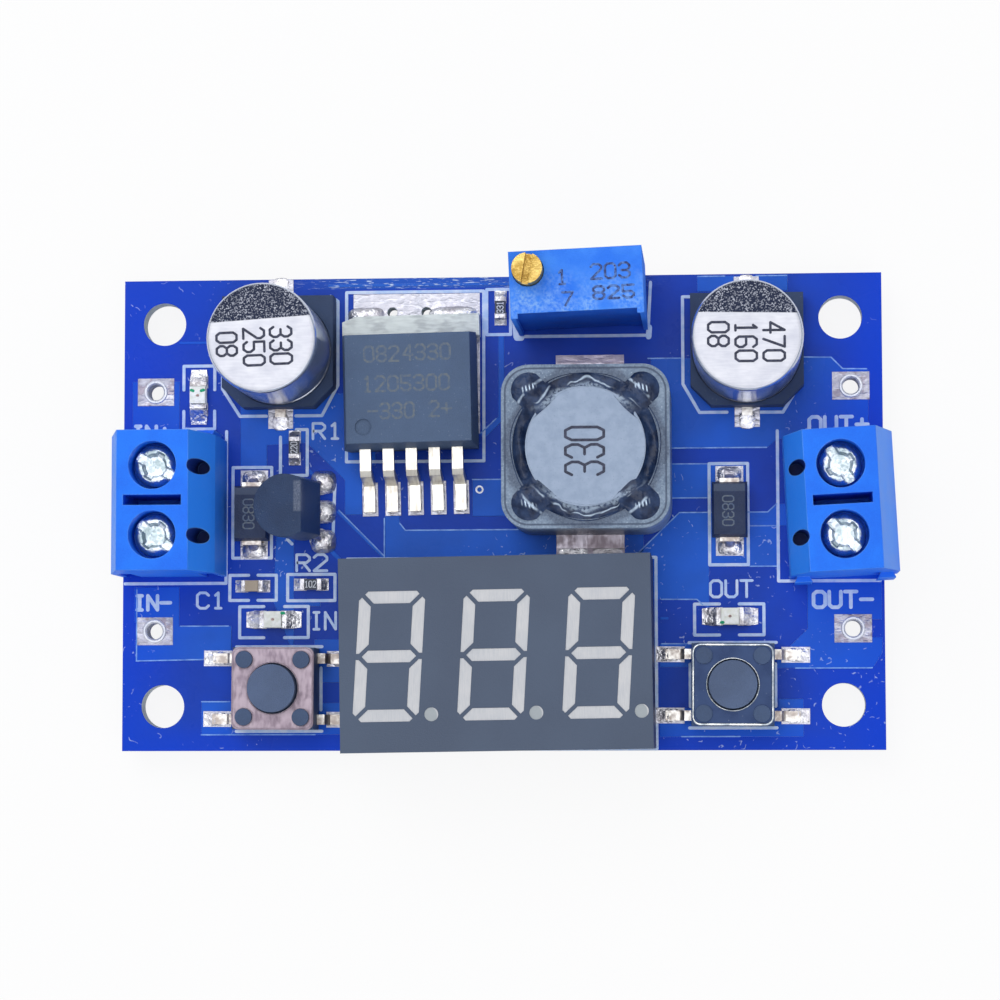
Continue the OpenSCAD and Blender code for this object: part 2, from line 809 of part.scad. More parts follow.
module display_housing() {
  color("#3a4050") on_board(display_at) difference() {
    slab([display_length, display_depth], [display_stand_off, display_height]);
    slab([display_length - 2 * display_wall, display_depth - 2 * display_wall], [-past, display_back]);
    translate([0, 0, -past]) linear_extrude(display_height + 2 * past) digit_windows();
  }
}

module display_segments() {
  color("#c9c8c4") on_board(display_at) translate([0, 0, display_back + 0.05])
    linear_extrude(display_height - display_back - 0.08) digit_windows();
}

module display_board() {
  color("#2f6b45") on_board(display_at) difference() {
    slab([display_length - 2 * display_wall, display_depth - 2 * display_wall], [0.55, display_back]);
    display_pin_shapes();
  }
}

module display_pin_shapes() {
  for (i = [-2.5:2.5], side = [-1, 1])
    translate([i * display_pin_pitch, side * display_row, -board_thickness - pin_reach])
      cylinder(h = board_thickness + pin_reach + 1.2, r = display_pin_r);
}

module display_pins() {
  color("#cfd1d3") on_board(display_at) display_pin_shapes();
}

// ---- switches ----

module switch_post_places() {
  for (i = [-1, 1], j = [-1, 1]) translate([i * switch_post_at, j * switch_post_at, 0]) children();
}

module switch_base() {
  color("#23252a") difference() {
    union() {
      slab([switch_side, switch_side], [0.15, switch_body_top]);
      switch_post_places() cylinder(h = switch_cover_top + 0.25, r = switch_post_r);
    }
    translate([0, 0, switch_floor]) cylinder(h = 5, r = switch_cavity_r);
    switch_lead_shapes();
  }
}

module switch_cover(tint) {
  color(tint) difference() {
    translate([0, 0, switch_body_top]) linear_extrude(switch_cover_top - switch_body_top)
      rounded_square(switch_side + 0.04, switch_side + 0.04, 0.55);
    cylinder(h = 5, d = button_d + 0.3);
    switch_post_places() cylinder(h = 5, r = switch_post_r);
  }
}

module switch_button() {
  flange_bottom = 2.55;
  color("#26282c") {
    translate([0, 0, flange_bottom]) cylinder(h = 0.5, r = button_flange_r);
    translate([0, 0, flange_bottom + 0.4]) cylinder(h = switch_top - flange_bottom - 0.4, d = button_d);
    translate([0, 0, switch_floor + 0.2 + dome_height + 0.02])
      cylinder(h = flange_bottom - switch_floor - dome_height - 0.12, r = 0.6);
  }
}

// The snap dome: a thin spring cap that stands on the outer contact.
module switch_dome() {
  cap_r = (dome_r * dome_r + dome_height * dome_height) / (2 * dome_height);
  rim = switch_floor + 0.2;
  color("#c0c3c6") rotate_extrude() intersection() {
    translate([0, rim]) square([dome_r, dome_height]);
    translate([0, rim + dome_height - cap_r]) difference() {
      circle(cap_r, $fn = 96);
      circle(cap_r - 0.1, $fn = 96);
    }
  }
}

// Four gull-wing leads; the near ends lie on the floor of the switch as its contacts.
module switch_lead_shapes() {
  t = 0.2;
  reach = 4.95;
  for (i = [0, 1], j = [-1, 1]) mirror([i, 0, 0]) translate([0, j * switch_lead_pitch / 2, 0])
    along_y(switch_lead_width) polygon([
      [2.4, 0.9], [2.4, 0.9 + t], [3.55, 0.9 + t], [3.75, 0.75], [3.85, t], [reach, t], [reach, 0],
      [3.7, 0], [3.6, 0.15], [3.5, 0.9]
    ]);
}

module switch_contacts() {
  difference() {
    translate([0, 0, switch_floor]) cylinder(h = 0.2, r = dome_r + 0.15);
    translate([0, 0, switch_floor - past]) cylinder(h = 2, r = dome_r - 0.45);
  }
  translate([0, 0, switch_floor]) cylinder(h = 0.2, r = 0.7);
}

module left_switch_base() {
  on_lands(left_switch_at) switch_base();
}
module left_switch_cover() {
  on_lands(left_switch_at) switch_cover("#b9a2a6");
}
module left_switch_button() {
  on_lands(left_switch_at) switch_button();
}
module left_switch_dome() {
  on_lands(left_switch_at) switch_dome();
}
module right_switch_base() {
  on_lands(right_switch_at) switch_base();
}
module right_switch_cover() {
  on_lands(right_switch_at) switch_cover("#7d838c");
}
module right_switch_button() {
  on_lands(right_switch_at) switch_button();
}
module right_switch_dome() {
  on_lands(right_switch_at) switch_dome();
}
module switch_terminals() {
  color("#cdd0d3") for (at = [left_switch_at, right_switch_at]) on_lands(at) {
    switch_lead_shapes();
    switch_contacts();
  }
}

// ---- diodes ----

module diode_lead_shapes() {
  for (side = [0, 1]) mirror([0, side, 0]) along_x(diode_lead_width) polygon([
    [1.3, 0], [1.3, 0.18], [diode_length / 2 + 0.1, 0.18], [diode_length / 2 + 0.1, 1.2], [1.5, 1.2],
    [1.5, 1.38], [diode_length / 2 + 0.28, 1.38], [diode_length / 2 + 0.28, 0]
  ]);
}

module diode_body() {
  half_x = diode_width / 2;
  half_y = diode_length / 2;
  middle = 1.29;
  color("#35363a") difference() {
    intersection() {
      along_y(2 * diode_length) polygon([
        [-half_x + 0.12, 0.2], [half_x - 0.12, 0.2], [half_x, middle], [half_x - 0.15, diode_height],
        [-half_x + 0.15, diode_height], [-half_x, middle]
      ]);
      along_x(2 * diode_width) polygon([
        [-half_y + 0.12, 0.2], [half_y - 0.12, 0.2], [half_y, middle], [half_y - 0.2, diode_height],
        [-half_y + 0.2, diode_height], [-half_y, middle]
      ]);
    }
    diode_lead_shapes();
  }
}

module diode_bodies() {
  for (at = [left_diode_at, right_diode_at]) on_lands(at) diode_body();
}

module diode_leads() {
  color("#c9ccd0") for (at = [left_diode_at, right_diode_at]) on_lands(at) diode_lead_shapes();
}

// ---- transistor ----

module transistor_frame() {
  on_board(transistor_at) translate([transistor_shift, 0, transistor_body_z]) rotate([0, -transistor_lean, 0]) children();
}

module transistor_body() {
  color("#2b2c30") difference() {
    transistor_frame() linear_extrude(transistor_body_height) intersection() {
      circle(transistor_r);
      translate([-3, -3]) square([3 + transistor_flat, 6]);
    }
    transistor_leads();
  }
}

module transistor_leads() {
  bend = 0.75;
  color("#c9ccd0") on_board(transistor_at) for (i = [-1, 0, 1]) {
    foot = [0, i * transistor_hole_pitch, bend];
    root = [transistor_shift - 0.15, i * transistor_pitch, transistor_body_z + 0.9];
    rod([foot[0], foot[1], -board_thickness - pin_reach], [foot[0], foot[1], bend + 0.08], transistor_lead_r);
    rod(foot, root, transistor_lead_r);
  }
}

// ---- chips ----

module chip_bodies(chips) {
  for (c = chips) on_lands(c) slab([c[3] - 2 * chip_cap_length, c[4]], [0.02, c[5]]);
}

module chip_resistors() {
  color("#2d2e32") chip_bodies(resistor_chips);
}

module ceramic_capacitor() {
  color("#b99a6b") chip_bodies(capacitor_chips);
}

module chip_end_caps() {
  color("#d4d6d8") for (c = all_chips, side = [0, 1]) on_lands(c) mirror([side, 0, 0])
    block([c[3] / 2 - chip_cap_length, c[3] / 2], [-c[4] / 2, c[4] / 2], [0, c[5] < 0.7 ? c[5] : 0.62 * c[5]]);
}

module status_leds() {
  color("#e8ecdf") for (c = led_chips) on_lands(c) {
    slab([c[3] - 2 * chip_cap_length, c[4]], [0.02, 0.4]);
    slab([c[3] - 2 * chip_cap_length - 0.1, c[4] - 0.1], [0.4, c[5]]);
  }
}

// ---- controller under the board ----

module under_board(at) {
  translate([at[0], at[1], -land]) rotate(at[2]) mirror([0, 0, 1]) children();
}

module controller_lead_shapes() {
  for (i = [-4.5:4.5], side = [0, 1]) mirror([0, side, 0]) translate([i * controller_pitch, 0, 0])
    along_x(0.24) polygon([
      [1.9, 0.5], [1.9, 0.62], [2.5, 0.62], [2.75, 0.12], [3.2, 0.12], [3.2, 0], [2.65, 0], [2.42, 0.5]
    ]);
}

module controller_chip() {
  color("#2a2b2f") under_board(controller_at) difference() {
    slab([controller_length, controller_width], [0.1, controller_height]);
    controller_lead_shapes();
    translate([-2.6, -1.5, controller_height - 0.1]) cylinder(h = 1, r = 0.3);
  }
}

module controller_leads() {
  color("#cdd0d3") under_board(controller_at) controller_lead_shapes();
}

circuit_board();
solder_pads();
solder_joints();
input_terminal_housing();
input_terminal_pins();
input_plus_screw();
input_minus_screw();
input_plus_cage();
input_minus_cage();
output_terminal_housing();
output_terminal_pins();
output_plus_screw();
output_minus_screw();
output_plus_cage();
output_minus_cage();
input_capacitor_can();
input_capacitor_base();
output_capacitor_can();
output_capacitor_base();
capacitor_foil_rolls();
capacitor_seals();
capacitor_leads();
regulator_body();
regulator_tab();
regulator_leads();
inductor_shield();
inductor_core();
inductor_winding();
inductor_terminals();
inductor_adhesive();
trimmer_housing();
trimmer_screw();
trimmer_slider();
trimmer_element();
trimmer_base();
trimmer_pins();
trimmer_seal();
display_housing();
display_segments();
display_board();
display_pins();
left_switch_base();
left_switch_cover();
left_switch_button();
left_switch_dome();
right_switch_base();
right_switch_cover();
right_switch_button();
right_switch_dome();
switch_terminals();
diode_bodies();
diode_leads();
transistor_body();
transistor_leads();
chip_resistors();
ceramic_capacitor();
chip_end_caps();
status_leds();
controller_chip();
controller_leads();
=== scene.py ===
import math
import random

import bmesh
import bpy
from mathutils import Matrix, Vector


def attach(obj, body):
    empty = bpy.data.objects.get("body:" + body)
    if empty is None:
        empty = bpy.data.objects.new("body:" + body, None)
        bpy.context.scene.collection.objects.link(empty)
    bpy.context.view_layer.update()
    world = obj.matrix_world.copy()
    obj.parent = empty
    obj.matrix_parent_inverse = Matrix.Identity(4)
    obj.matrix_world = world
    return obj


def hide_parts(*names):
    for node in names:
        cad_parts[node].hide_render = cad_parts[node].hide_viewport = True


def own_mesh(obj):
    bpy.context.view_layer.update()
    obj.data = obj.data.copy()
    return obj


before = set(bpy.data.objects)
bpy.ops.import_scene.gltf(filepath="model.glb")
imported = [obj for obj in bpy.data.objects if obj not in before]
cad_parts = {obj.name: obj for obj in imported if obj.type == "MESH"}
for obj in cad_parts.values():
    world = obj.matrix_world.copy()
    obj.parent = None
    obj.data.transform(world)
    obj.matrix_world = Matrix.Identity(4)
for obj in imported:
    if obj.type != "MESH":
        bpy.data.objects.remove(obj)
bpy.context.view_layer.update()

# ---- Circuit board ----
# Glass-fibre laminate, 1.6 mm thick, under a glossy blue solder mask on both faces.
# The mask runs over the copper, so every copper area stands a little proud and looks paler.
MM = 0.001
BOARD_TOP = 1.6
COPPER_RISE = 0.035


class Wire:
    """A socket of a node tree.  Sums on it add the nodes that work them out."""

    def __init__(self, tree, socket=None):
        self.tree, self.socket = tree, socket

    def add(self, kind, settings=(), inputs=(), out=0):
        """Adds a node: its settings come first, then the values or links of its sockets."""
        node = self.tree.nodes.new(kind)
        for name, value in dict(settings).items():
            if name == "stops":
                ramp = node.color_ramp.elements
                while len(ramp) < len(value):
                    ramp.new(1.0)
                for stop, (place, colour) in zip(ramp, value):
                    stop.position, stop.color = place, colour
            else:
                setattr(node, name, value)
        for name, value in dict(inputs).items():
            for one in value if isinstance(value, list) else [value]:
                if isinstance(one, Wire):
                    self.tree.links.new(one.socket, node.inputs[name])
                else:
                    node.inputs[name].default_value = one
        return Wire(self.tree, node.outputs[out] if len(node.outputs) else None)

    def maths(self, operation, *others):
        return self.add("ShaderNodeMath", {"operation": operation}, enumerate((self, *others)))

    def __add__(self, other):
        return self.maths("ADD", other)

    def __sub__(self, other):
        return self.maths("SUBTRACT", other)

    def __rsub__(self, other):
        return self * -1 + other

    def __mul__(self, other):
        return self.maths("MULTIPLY", other)

    __radd__ = __add__
    __rmul__ = __mul__

    def size(self):
        return self.maths("ABSOLUTE")

    def above(self, edge, soft=0.02):
        """0 below the edge and 1 above it, with a soft step between."""
        return self.add(
            "ShaderNodeMapRange",
            {"interpolation_type": "SMOOTHSTEP"},
            {"Value": self, "From Min": edge - soft, "From Max": edge + soft},
        )

    def below(self, edge, soft=0.02):
        return 1 - self.above(edge, soft)

    def blend(self, low, high):
        """The low colour where this value is 0 and the high one where it is 1."""
        return self.add("ShaderNodeMix", {"data_type": "RGBA"}, {0: self, 6: low, 7: high}, out=2)

    def stretched(self, x, y, z):
        return self.add("ShaderNodeVectorMath", {"operation": "MULTIPLY"}, {0: self, 1: (x, y, z)})

    def axis(self, name):
        return self.add("ShaderNodeSeparateXYZ", inputs={0: self}, out=name)

    def noise(self, scale, detail=2.0):
        """Cloudy noise spread over the whole of 0 to 1; the scale is in lumps per millimetre."""
        lumps = self.add("ShaderNodeTexNoise", inputs={"Vector": self, "Scale": scale, "Detail": detail})
        return lumps.above(0.5, 0.22)

    def specks(self, scale, radius):
        """Round specks, one in each cell of a grid of that many cells per millimetre."""
        near = self.add("ShaderNodeTexVoronoi", inputs={"Vector": self, "Scale": scale}, out="Distance")
        return near.below(radius, radius * 0.4)

    def softened_edges(self, radius):
        """The normal with its edges rounded, and a mask of those edges."""
        soft = self.add("ShaderNodeBevel", {"samples": 4}, {"Radius": radius * MM})
        flat = self.add("ShaderNodeNewGeometry", out="True Normal")
        facing = self.add(
            "ShaderNodeVectorMath", {"operation": "DOT_PRODUCT"}, {0: soft, 1: flat}, out="Value"
        )
        return soft, facing.below(0.93, 0.05)

    def bump(self, depth, normal=None):
        """Relief of that depth in millimetres."""
        sockets = {"Strength": 1.0, "Distance": depth * MM, "Height": self}
        if normal:
            sockets["Normal"] = normal
        return self.add("ShaderNodeBump", inputs=sockets)

    def into(self, shader, socket):
        self.tree.links.new(self.socket, shader.inputs[socket])


def paint(red, green, blue):
    """A colour written as 0 to 255, in the form that a material takes."""
    parts = [c / 255 for c in (red, green, blue)]
    return (*[((c + 0.055) / 1.055) ** 2.4 if c > 0.04 else c / 12.92 for c in parts], 1.0)


def toned(colour, factor):
    """The same colour, lighter or darker."""
    return (*[min(1.0, c * factor) for c in colour[:3]], 1.0)


def new_finish(name, sockets=()):
    """A material, its shader, and the place on the object in millimetres."""
    finish = bpy.data.materials.new(name)
    finish.use_nodes = True
    shader = finish.node_tree.nodes["Principled BSDF"]
    shader.inputs["Specular IOR Level"].default_value = 0.22
    for socket, value in dict(sockets).items():
        shader.inputs[socket].default_value = value
    place = Wire(finish.node_tree).add("ShaderNodeTexCoord", out="Object")
    return finish, shader, place.stretched(1 / MM, 1 / MM, 1 / MM)


def coat(material, *nodes):
    """Puts one material on CAD nodes."""
    for node in nodes:
        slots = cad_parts[node].data.materials
        slots.clear()
        slots.append(material)


class Shape:
    """Faces gathered in millimetres; piece() makes them one mesh in metres."""

    def __init__(self):
        self.mesh = bmesh.new()

    def prism(self, outline, low, high, place=Matrix()):
        rims = [[self.mesh.verts.new(place @ Vector((x, y, z))) for x, y in outline] for z in (low, high)]
        self.mesh.faces.new(rims[0])
        self.mesh.faces.new(rims[1])
        for i in range(len(outline)):
            j = (i + 1) % len(outline)
            self.mesh.faces.new((rims[0][i], rims[0][j], rims[1][j], rims[1][i]))

    def turned(self, profile, place=Matrix(), steps=32):
        """A solid of revolution; the profile is radius and height, from axis to axis."""
        rims = []
        for radius, z in profile:
            if radius < 1e-6:
                rims.append([self.mesh.verts.new(place @ Vector((0, 0, z)))] * steps)
            else:
                turns = [math.tau * k / steps for k in range(steps)]
                rims.append([
                    self.mesh.verts.new(place @ Vector((radius * math.cos(t), radius * math.sin(t), z)))
                    for t in turns
                ])
        for one, two in zip(rims, rims[1:]):
            for k in range(steps):
                corners = [one[k], one[k - 1], two[k - 1], two[k]]
                corners = [c for i, c in enumerate(corners) if c not in corners[:i]]
                if len(corners) > 2:
                    self.mesh.faces.new(corners)

    def domed(self, rims):
        """Skins rings that grow from one point, and closes the last one."""
        for k in range(len(rims[1])):
            self.mesh.faces.new((rims[0][0], rims[1][k - 1], rims[1][k]))
        for one, two in zip(rims[1:], rims[2:]):
            for k in range(len(one)):
                self.mesh.faces.new((one[k], one[k - 1], two[k - 1], two[k]))
        self.mesh.faces.new(rims[-1])

    def looped(self, rims):
        """Skins rings that follow each other round and meet again."""
        for k, two in enumerate(rims):
            one = rims[k - 1]
            for j in range(len(one)):
                self.mesh.faces.new((one[j - 1], one[j], two[j], two[j - 1]))

    def take(self, mesh, place=Matrix()):
        """Adds a finished mesh that is in metres."""
        mesh.transform(place @ Matrix.Scale(1 / MM, 4))
        self.mesh.from_mesh(mesh)

    def piece(self, name, material, body, slot, bevel=0.0, stands_for=(), crease=35):
        bmesh.ops.recalc_face_normals(self.mesh, faces=self.mesh.faces)
        bmesh.ops.scale(self.mesh, vec=(MM, MM, MM), verts=self.mesh.verts)
        data = bpy.data.meshes.new(name)
        self.mesh.to_mesh(data)
        self.mesh.free()
        data.shade_smooth()
        data.set_sharp_from_angle(angle=math.radians(crease))
        data.materials.clear()
        data.materials.append(material)
        made = bpy.data.objects.new(name, data)
        bpy.context.scene.collection.objects.link(made)
        if bevel:
            round_over = made.modifiers.new("rounded edges", "BEVEL")
            round_over.width = bevel * MM
            round_over.segments = 2
            round_over.limit_method = "ANGLE"
        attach(made, body)
        if stands_for:
            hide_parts(*stands_for)
        return made


def solder_mask(name, deep, pale):
    """Glossy solder mask, paler and purer towards the bare rim of the board."""
    finish, shader, at = new_finish(name, {"Specular IOR Level": 0.1})
    x, y = at.axis("X"), at.axis("Y")
    rim = (x.size() + at.noise(0.12, 1) * 3).above(26, 5.5)
    foot = y.below(-15.8, 1.8) * x.below(-8, 3).maths("MAXIMUM", x.above(8, 3))
    # A lighter band along the upper edge is a painted highlight, the glare on the glossy mask.
    top_edge_glare = y.above(16.82, 0.08) * (x + 2).size().below(11, 4)
    cloud = at.noise(0.2, 3)
    tone = rim.maths("MAXIMUM", foot * 0.8).blend(cloud.blend(toned(deep, 0.86), toned(deep, 1.12)), pale)
    tone = (top_edge_glare * 0.6).blend(tone, paint(44, 100, 196))
    # Vertical walls of the board and its holes: pale laminate, painted lighter still as painted light on them.
    pale_lit_wall = at.add("ShaderNodeNewGeometry", out="Normal").axis("Z").size().below(0.5, 0.1)
    tone = pale_lit_wall.blend(tone, paint(198, 206, 206))
    # Dried flux: short broken curls and grains near the joints, and a wet line along the upper edge whose shine
    # is painted as pale streaks of highlight.
    near = at.noise(0.14, 2).above(0.62, 0.15).maths("MAXIMUM", y.below(-9, 2) * x.above(19.5, 1.5) * 0.8)
    curl = (at.noise(1.1, 1) - 0.5).size().below(0.045, 0.04) * at.noise(2.1, 1).above(0.92, 0.06)
    grains = at.specks(2.4, 0.1) * at.noise(0.5, 2).above(0.72, 0.08)
    flux_glints = at.stretched(0.7, 6, 1).noise(2.2, 3).above(0.86, 0.08) * top_edge_glare
    marks = (curl * near * 0.55).maths("MAXIMUM", grains * near * 0.5).maths("MAXIMUM", flux_glints)
    marks.blend(tone, paint(206, 224, 250)).into(shader, "Base Color")
    (0.26 + cloud * 0.14 + marks * 0.3).into(shader, "Roughness")
    soft, _ = at.softened_edges(0.08)
    (at.noise(2.4, 2) * 0.4 + marks).bump(0.012, soft).into(shader, "Normal")
    return finish


bare_mask = solder_mask("blue mask over laminate", paint(24, 68, 182), paint(2, 62, 202))
copper_mask = solder_mask("blue mask over copper", paint(36, 98, 210), paint(8, 80, 214))
coat(bare_mask, "circuit_board")

# Copper areas of the component side, each an outline in millimetres.
top_copper = [
    [(-19.45, 3.4), (-17.45, 3.4), (-17.45, 5.15), (-14.46, 5.3), (-11.6, 2.5), (-11.6, -0.1),
     (-10.3, -0.1), (-10.3, 3.6), (-9.3, 3.6), (-9.3, 9), (-12.5, 9), (-12.5, 16.2), (-19.45, 16.2)],
    [(-27.6, 10), (-27.6, 6), (-24.05, 6), (-24.05, 10), (-25.2, 10), (-25.2, 8.5), (-26.5, 8.5), (-26.5, 10)],
    [(-27.4, -5.4), (-27.38, -8.05), (-25.2, -8.05), (-25.2, -9.35), (-27.33, -9.35), (-27.3, -10.95),
     (-20.07, -10.75), (-20.07, -8.31), (-24, -8.31), (-24, -5.4)],
    [(-22.3, -13.9), (-22.3, -16.4), (-10.9, -16.4), (-10.9, -14.06), (-13.5, -14.06), (-20.1, -13.9)],
    [(-12.1, -9.35), (-13.86, -9.35), (-13.86, -12.55), (-10.9, -12.55), (-10.9, -9.35)],
    [(-16.73, -1.5), (-16.97, -6.43), (-15.7, -9.8), (-15.4, -9.8), (-15.4, -6.9), (-13.4, -6.9),
     (-13.4, -6.43), (-15.4, -6.43), (-15.4, -1.5)],
    [(-0.14, 13.2), (-0.14, 7.15), (-1.5, 5.85), (-1.2, 5.5), (0.31, 6.95), (0.31, 13.2)],
    [(-2.07, 2.46), (-2.07, -0.27), (1.4, -0.27), (1.4, 2.46)],
    [(-8.6, -0.1), (-8.6, -5), (8.2, -5), (10.6, -2.9), (10.6, -1.28), (-7.08, -1.28),
     (-7.5, -0.75), (-7.5, -0.1)],
    [(11.2, 11.37), (11.2, 4.68), (19.79, 4.68), (20.5, 5.3), (27.2, 5.3), (27.2, 8.55),
     (25.28, 8.55), (25.28, 9.85), (27.2, 9.85), (27.2, 10.44), (25.35, 10.44), (24.5, 11.32)],
    [(11.9, 3.5), (11.9, 0.98), (18.1, 0.98), (18.1, 3.5)],
    [(13.3, -0.1), (9.7, -3.45), (11.3, -3.45), (11.3, -6.5), (14.5, -6.5), (15.4, -7.3), (15.4, -4.1),
     (20.5, -4.1), (20.5, -1.12), (28, -1.12), (28, 0.5), (20.45, 0.5), (19.8, -0.1)],
    [(22.6, -3.6), (22.6, -8.7), (20.3, -10.95), (20.3, -11.6), (27.35, -11.6), (28.05, -10.5), (28.05, -9.35),
     (25.28, -9.35), (25.28, -8.05), (28.05, -8.05), (28.05, -3.6)],
    [(11.7, -14.5), (11.7, -16.62), (22.25, -16.62), (22.25, -13.85), (20.4, -13.85), (20.4, -14.5)],
    [(11.75, -9.75), (11.75, -11.5), (14, -11.5), (14, -9.75)],
    [(-12.9, 17.2), (-12.9, 16.95), (9.5, 16.95), (9.5, 17.2)],
    [(14.67, 17.45), (14.67, 16.3), (21.35, 16.3), (21.35, 17.45)],
]
# Thin tracks: their two ends and their width.
top_tracks = [
    ([(-12.15, 0.2), (-8.7, -3.25)], 0.28), ([(-14.5, 3.4), (-13.7, 2.65)], 0.25),
    ([(-12.8, -2.62), (-12.0, -3.42)], 0.3), ([(-16.75, -4.55), (-16.2, -3.95)], 0.25),
    ([(-12.35, 6.85), (-11.6, 6.0)], 0.25), ([(18.35, -0.6), (20.6, -0.6)], 0.3),
    ([(-24.1, 12.9), (-21, 12.9)], 0.2), ([(11.8, -7.9), (12.4, -7.9)], 0.2),
]
under_copper = [
    [(-22.7, 16.8), (-22.7, 7.3), (-27.3, 7.3), (-27.3, -6.8), (-22.7, -6.8), (-22.7, -16.8), (-13.5, -16.8),
     (-13.5, 16.8)],
    [(-12.6, 14.3), (-12.6, 12.4), (-9.3, 12.4), (-9.3, 8.2), (-2.2, 8.2), (-2.2, 13.6),
     (-3.6, 13.6), (-3.6, 14.3)],
    [(11.9, 16.8), (11.9, -16.8), (22.8, -16.8), (22.8, -6.8), (27.4, -6.8), (27.4, 7.3),
     (22.8, 7.3), (22.8, 16.8)],
    [(-1.3, 16.8), (-1.3, 9), (11, 9), (11, 16.8)],
    [(-11.9, -16.9), (-11.9, -17.2), (11, -17.2), (11, -16.9)],
]
copper = Shape()
for outline in top_copper:
    copper.prism(outline, BOARD_TOP - 0.02, BOARD_TOP + COPPER_RISE)
for (a, b), width in top_tracks:
    side = (Vector(b) - Vector(a)).normalized().orthogonal() * width / 2
    corners = [Vector(a) + side, Vector(a) - side, Vector(b) - side, Vector(b) + side]
    copper.prism([tuple(c) for c in corners], BOARD_TOP - 0.02, BOARD_TOP + COPPER_RISE - 0.004)
for outline in under_copper:
    copper.prism(outline, -COPPER_RISE, 0.02)
copper.piece("masked_copper", copper_mask, "module", "board", bevel=0.03)

# ---- White board print ----
# Outlines and reference letters, screened on the mask in thin white ink after the copper is etched.
# A line tree sweeps a flat bar along every stroke and closes its ends with round dots.
INK_RISE = 0.05
SWITCHES = {"left": (-16.49, -13.02), "right": (17.1, -12.84)}


def new_tree(name, inputs):
    """An empty Geometry Nodes tree with named inputs; returns their wires."""
    tree = bpy.data.node_groups.new(name, "GeometryNodeTree")
    tree.interface.new_socket("Geometry", in_out="INPUT", socket_type="NodeSocketGeometry")
    for label, kind in inputs.items():
        tree.interface.new_socket(label, in_out="INPUT", socket_type="NodeSocket" + kind)
    tree.interface.new_socket("Geometry", in_out="OUTPUT", socket_type="NodeSocketGeometry")
    start = tree.nodes.new("NodeGroupInput")
    return {s.name: Wire(tree, s) for s in start.outputs if s.name}


def close_tree(shape, finish):
    """Ends a tree: its copies made real, and its material set."""
    real = shape.add("GeometryNodeRealizeInstances", inputs={0: shape})
    dressed = real.add("GeometryNodeSetMaterial", inputs={"Geometry": real, "Material": finish})
    dressed.add("NodeGroupOutput", inputs={0: dressed})
    return shape.tree


def grown(tree, source, inputs):
    """The plain mesh that a tree makes of a source mesh."""
    holder = bpy.data.objects.new("holder", source)
    bpy.context.scene.collection.objects.link(holder)
    growth = holder.modifiers.new("growth", "NODES")
    growth.node_group = tree
    for item in tree.interface.items_tree:
        if item.item_type == "SOCKET" and item.in_out == "INPUT" and item.name in inputs:
            growth[item.identifier] = inputs[item.name]
    seen = holder.evaluated_get(bpy.context.evaluated_depsgraph_get())
    made = bpy.data.meshes.new_from_object(seen)
    holder.modifiers.remove(growth)
    bpy.data.objects.remove(holder)
    return made


wires = new_tree("ink line", {"Width": "Float", "Rise": "Float", "Ink": "Material"})
begin = wires["Geometry"]
path = begin.add("GeometryNodeMeshToCurve", inputs={0: begin})
level_path = path.add("GeometryNodeSetCurveNormal", {"mode": "Z_UP"}, {0: path})
bar = begin.add(
    "GeometryNodeCurvePrimitiveQuadrilateral", inputs={"Width": wires["Width"], "Height": wires["Rise"]}
)
swept = begin.add(
    "GeometryNodeCurveToMesh", inputs={"Curve": level_path, "Profile Curve": bar, "Fill Caps": True}
)
dot = begin.add(
    "GeometryNodeMeshCylinder",
    inputs={"Vertices": 10, "Radius": wires["Width"] * 0.5, "Depth": wires["Rise"] * 0.94},
)
dots = begin.add("GeometryNodeInstanceOnPoints", inputs={"Points": begin, "Instance": dot})
both = begin.add("GeometryNodeJoinGeometry", inputs={0: [swept, dots]})
ink_line = close_tree(both, wires["Ink"])


def ink(name, strokes, width, rise, place, material, slot):
    """Print: every stroke is a list of points in millimetres on the plane of place."""
    points, edges = [], []
    for stroke in strokes:
        for a, b in zip(stroke, stroke[1:]):
            lift = 0.0022 * (len(edges) % 5)
            edges.append((len(points), len(points) + 1))
            points += [place @ Vector((*a, lift)) * MM, place @ Vector((*b, lift)) * MM]
    source = bpy.data.meshes.new(name)
    source.from_pydata(points, edges, [])
    made = grown(ink_line, source, {"Width": width * MM, "Rise": rise * MM, "Ink": material})
    shape = Shape()
    shape.take(made)
    return shape.piece(name, material, "module", slot)


def closed(*points):
    return [*points, points[0]]


def brackets(low, high, gap):
    """Two facing brackets round a part that lies along X, with a gap in their long sides."""
    (x0, y0), (x1, y1) = low, high
    return [
        [(gap[0], y0), (x0, y0), (x0, y1), (gap[0], y1)],
        [(gap[1], y0), (x1, y0), (x1, y1), (gap[1], y1)],
    ]


# Letters on a grid of 4 by 6: two figures are one point, and a space lifts the pen.
LETTERS = {
    "0": "103041453616050110", "1": "152620 1030", "2": "05163645440040",
    "3": "05163645443313 334241301001", "4": "30360242", "5": "460603334241301001",
    "6": "4536160501103041423303", "7": "064610", "8": "13040516364544331302011030414233",
    "C": "4536160501103041", "I": "1636 2620 1030", "N": "00064046", "O": "103041453616050110",
    "R": "00063645443303 2340", "T": "0646 2620", "U": "060110304146", "+": "0343 2125", "-": "0343",
}


def lettering(text, corner, along, height, advance):
    """Strokes of a word whose lower left corner and direction are given."""
    ahead = Vector(along).normalized()
    up = Vector((-ahead.y, ahead.x))
    strokes = []
    for place, letter in enumerate(text):
        for run in LETTERS.get(letter, "").split():
            pairs = [run[k:k + 2] for k in range(0, len(run) - 1, 2)]
            grid = [(int(p[0]) * advance * 0.185, int(p[1]) * height / 6) for p in pairs]
            strokes.append([
                tuple(Vector(corner) + ahead * (place * advance + gx) + up * gy) for gx, gy in grid
            ])
    return strokes


def lettered(*rows):
    """The strokes of several words."""
    return [stroke for row in rows for stroke in lettering(*row)]


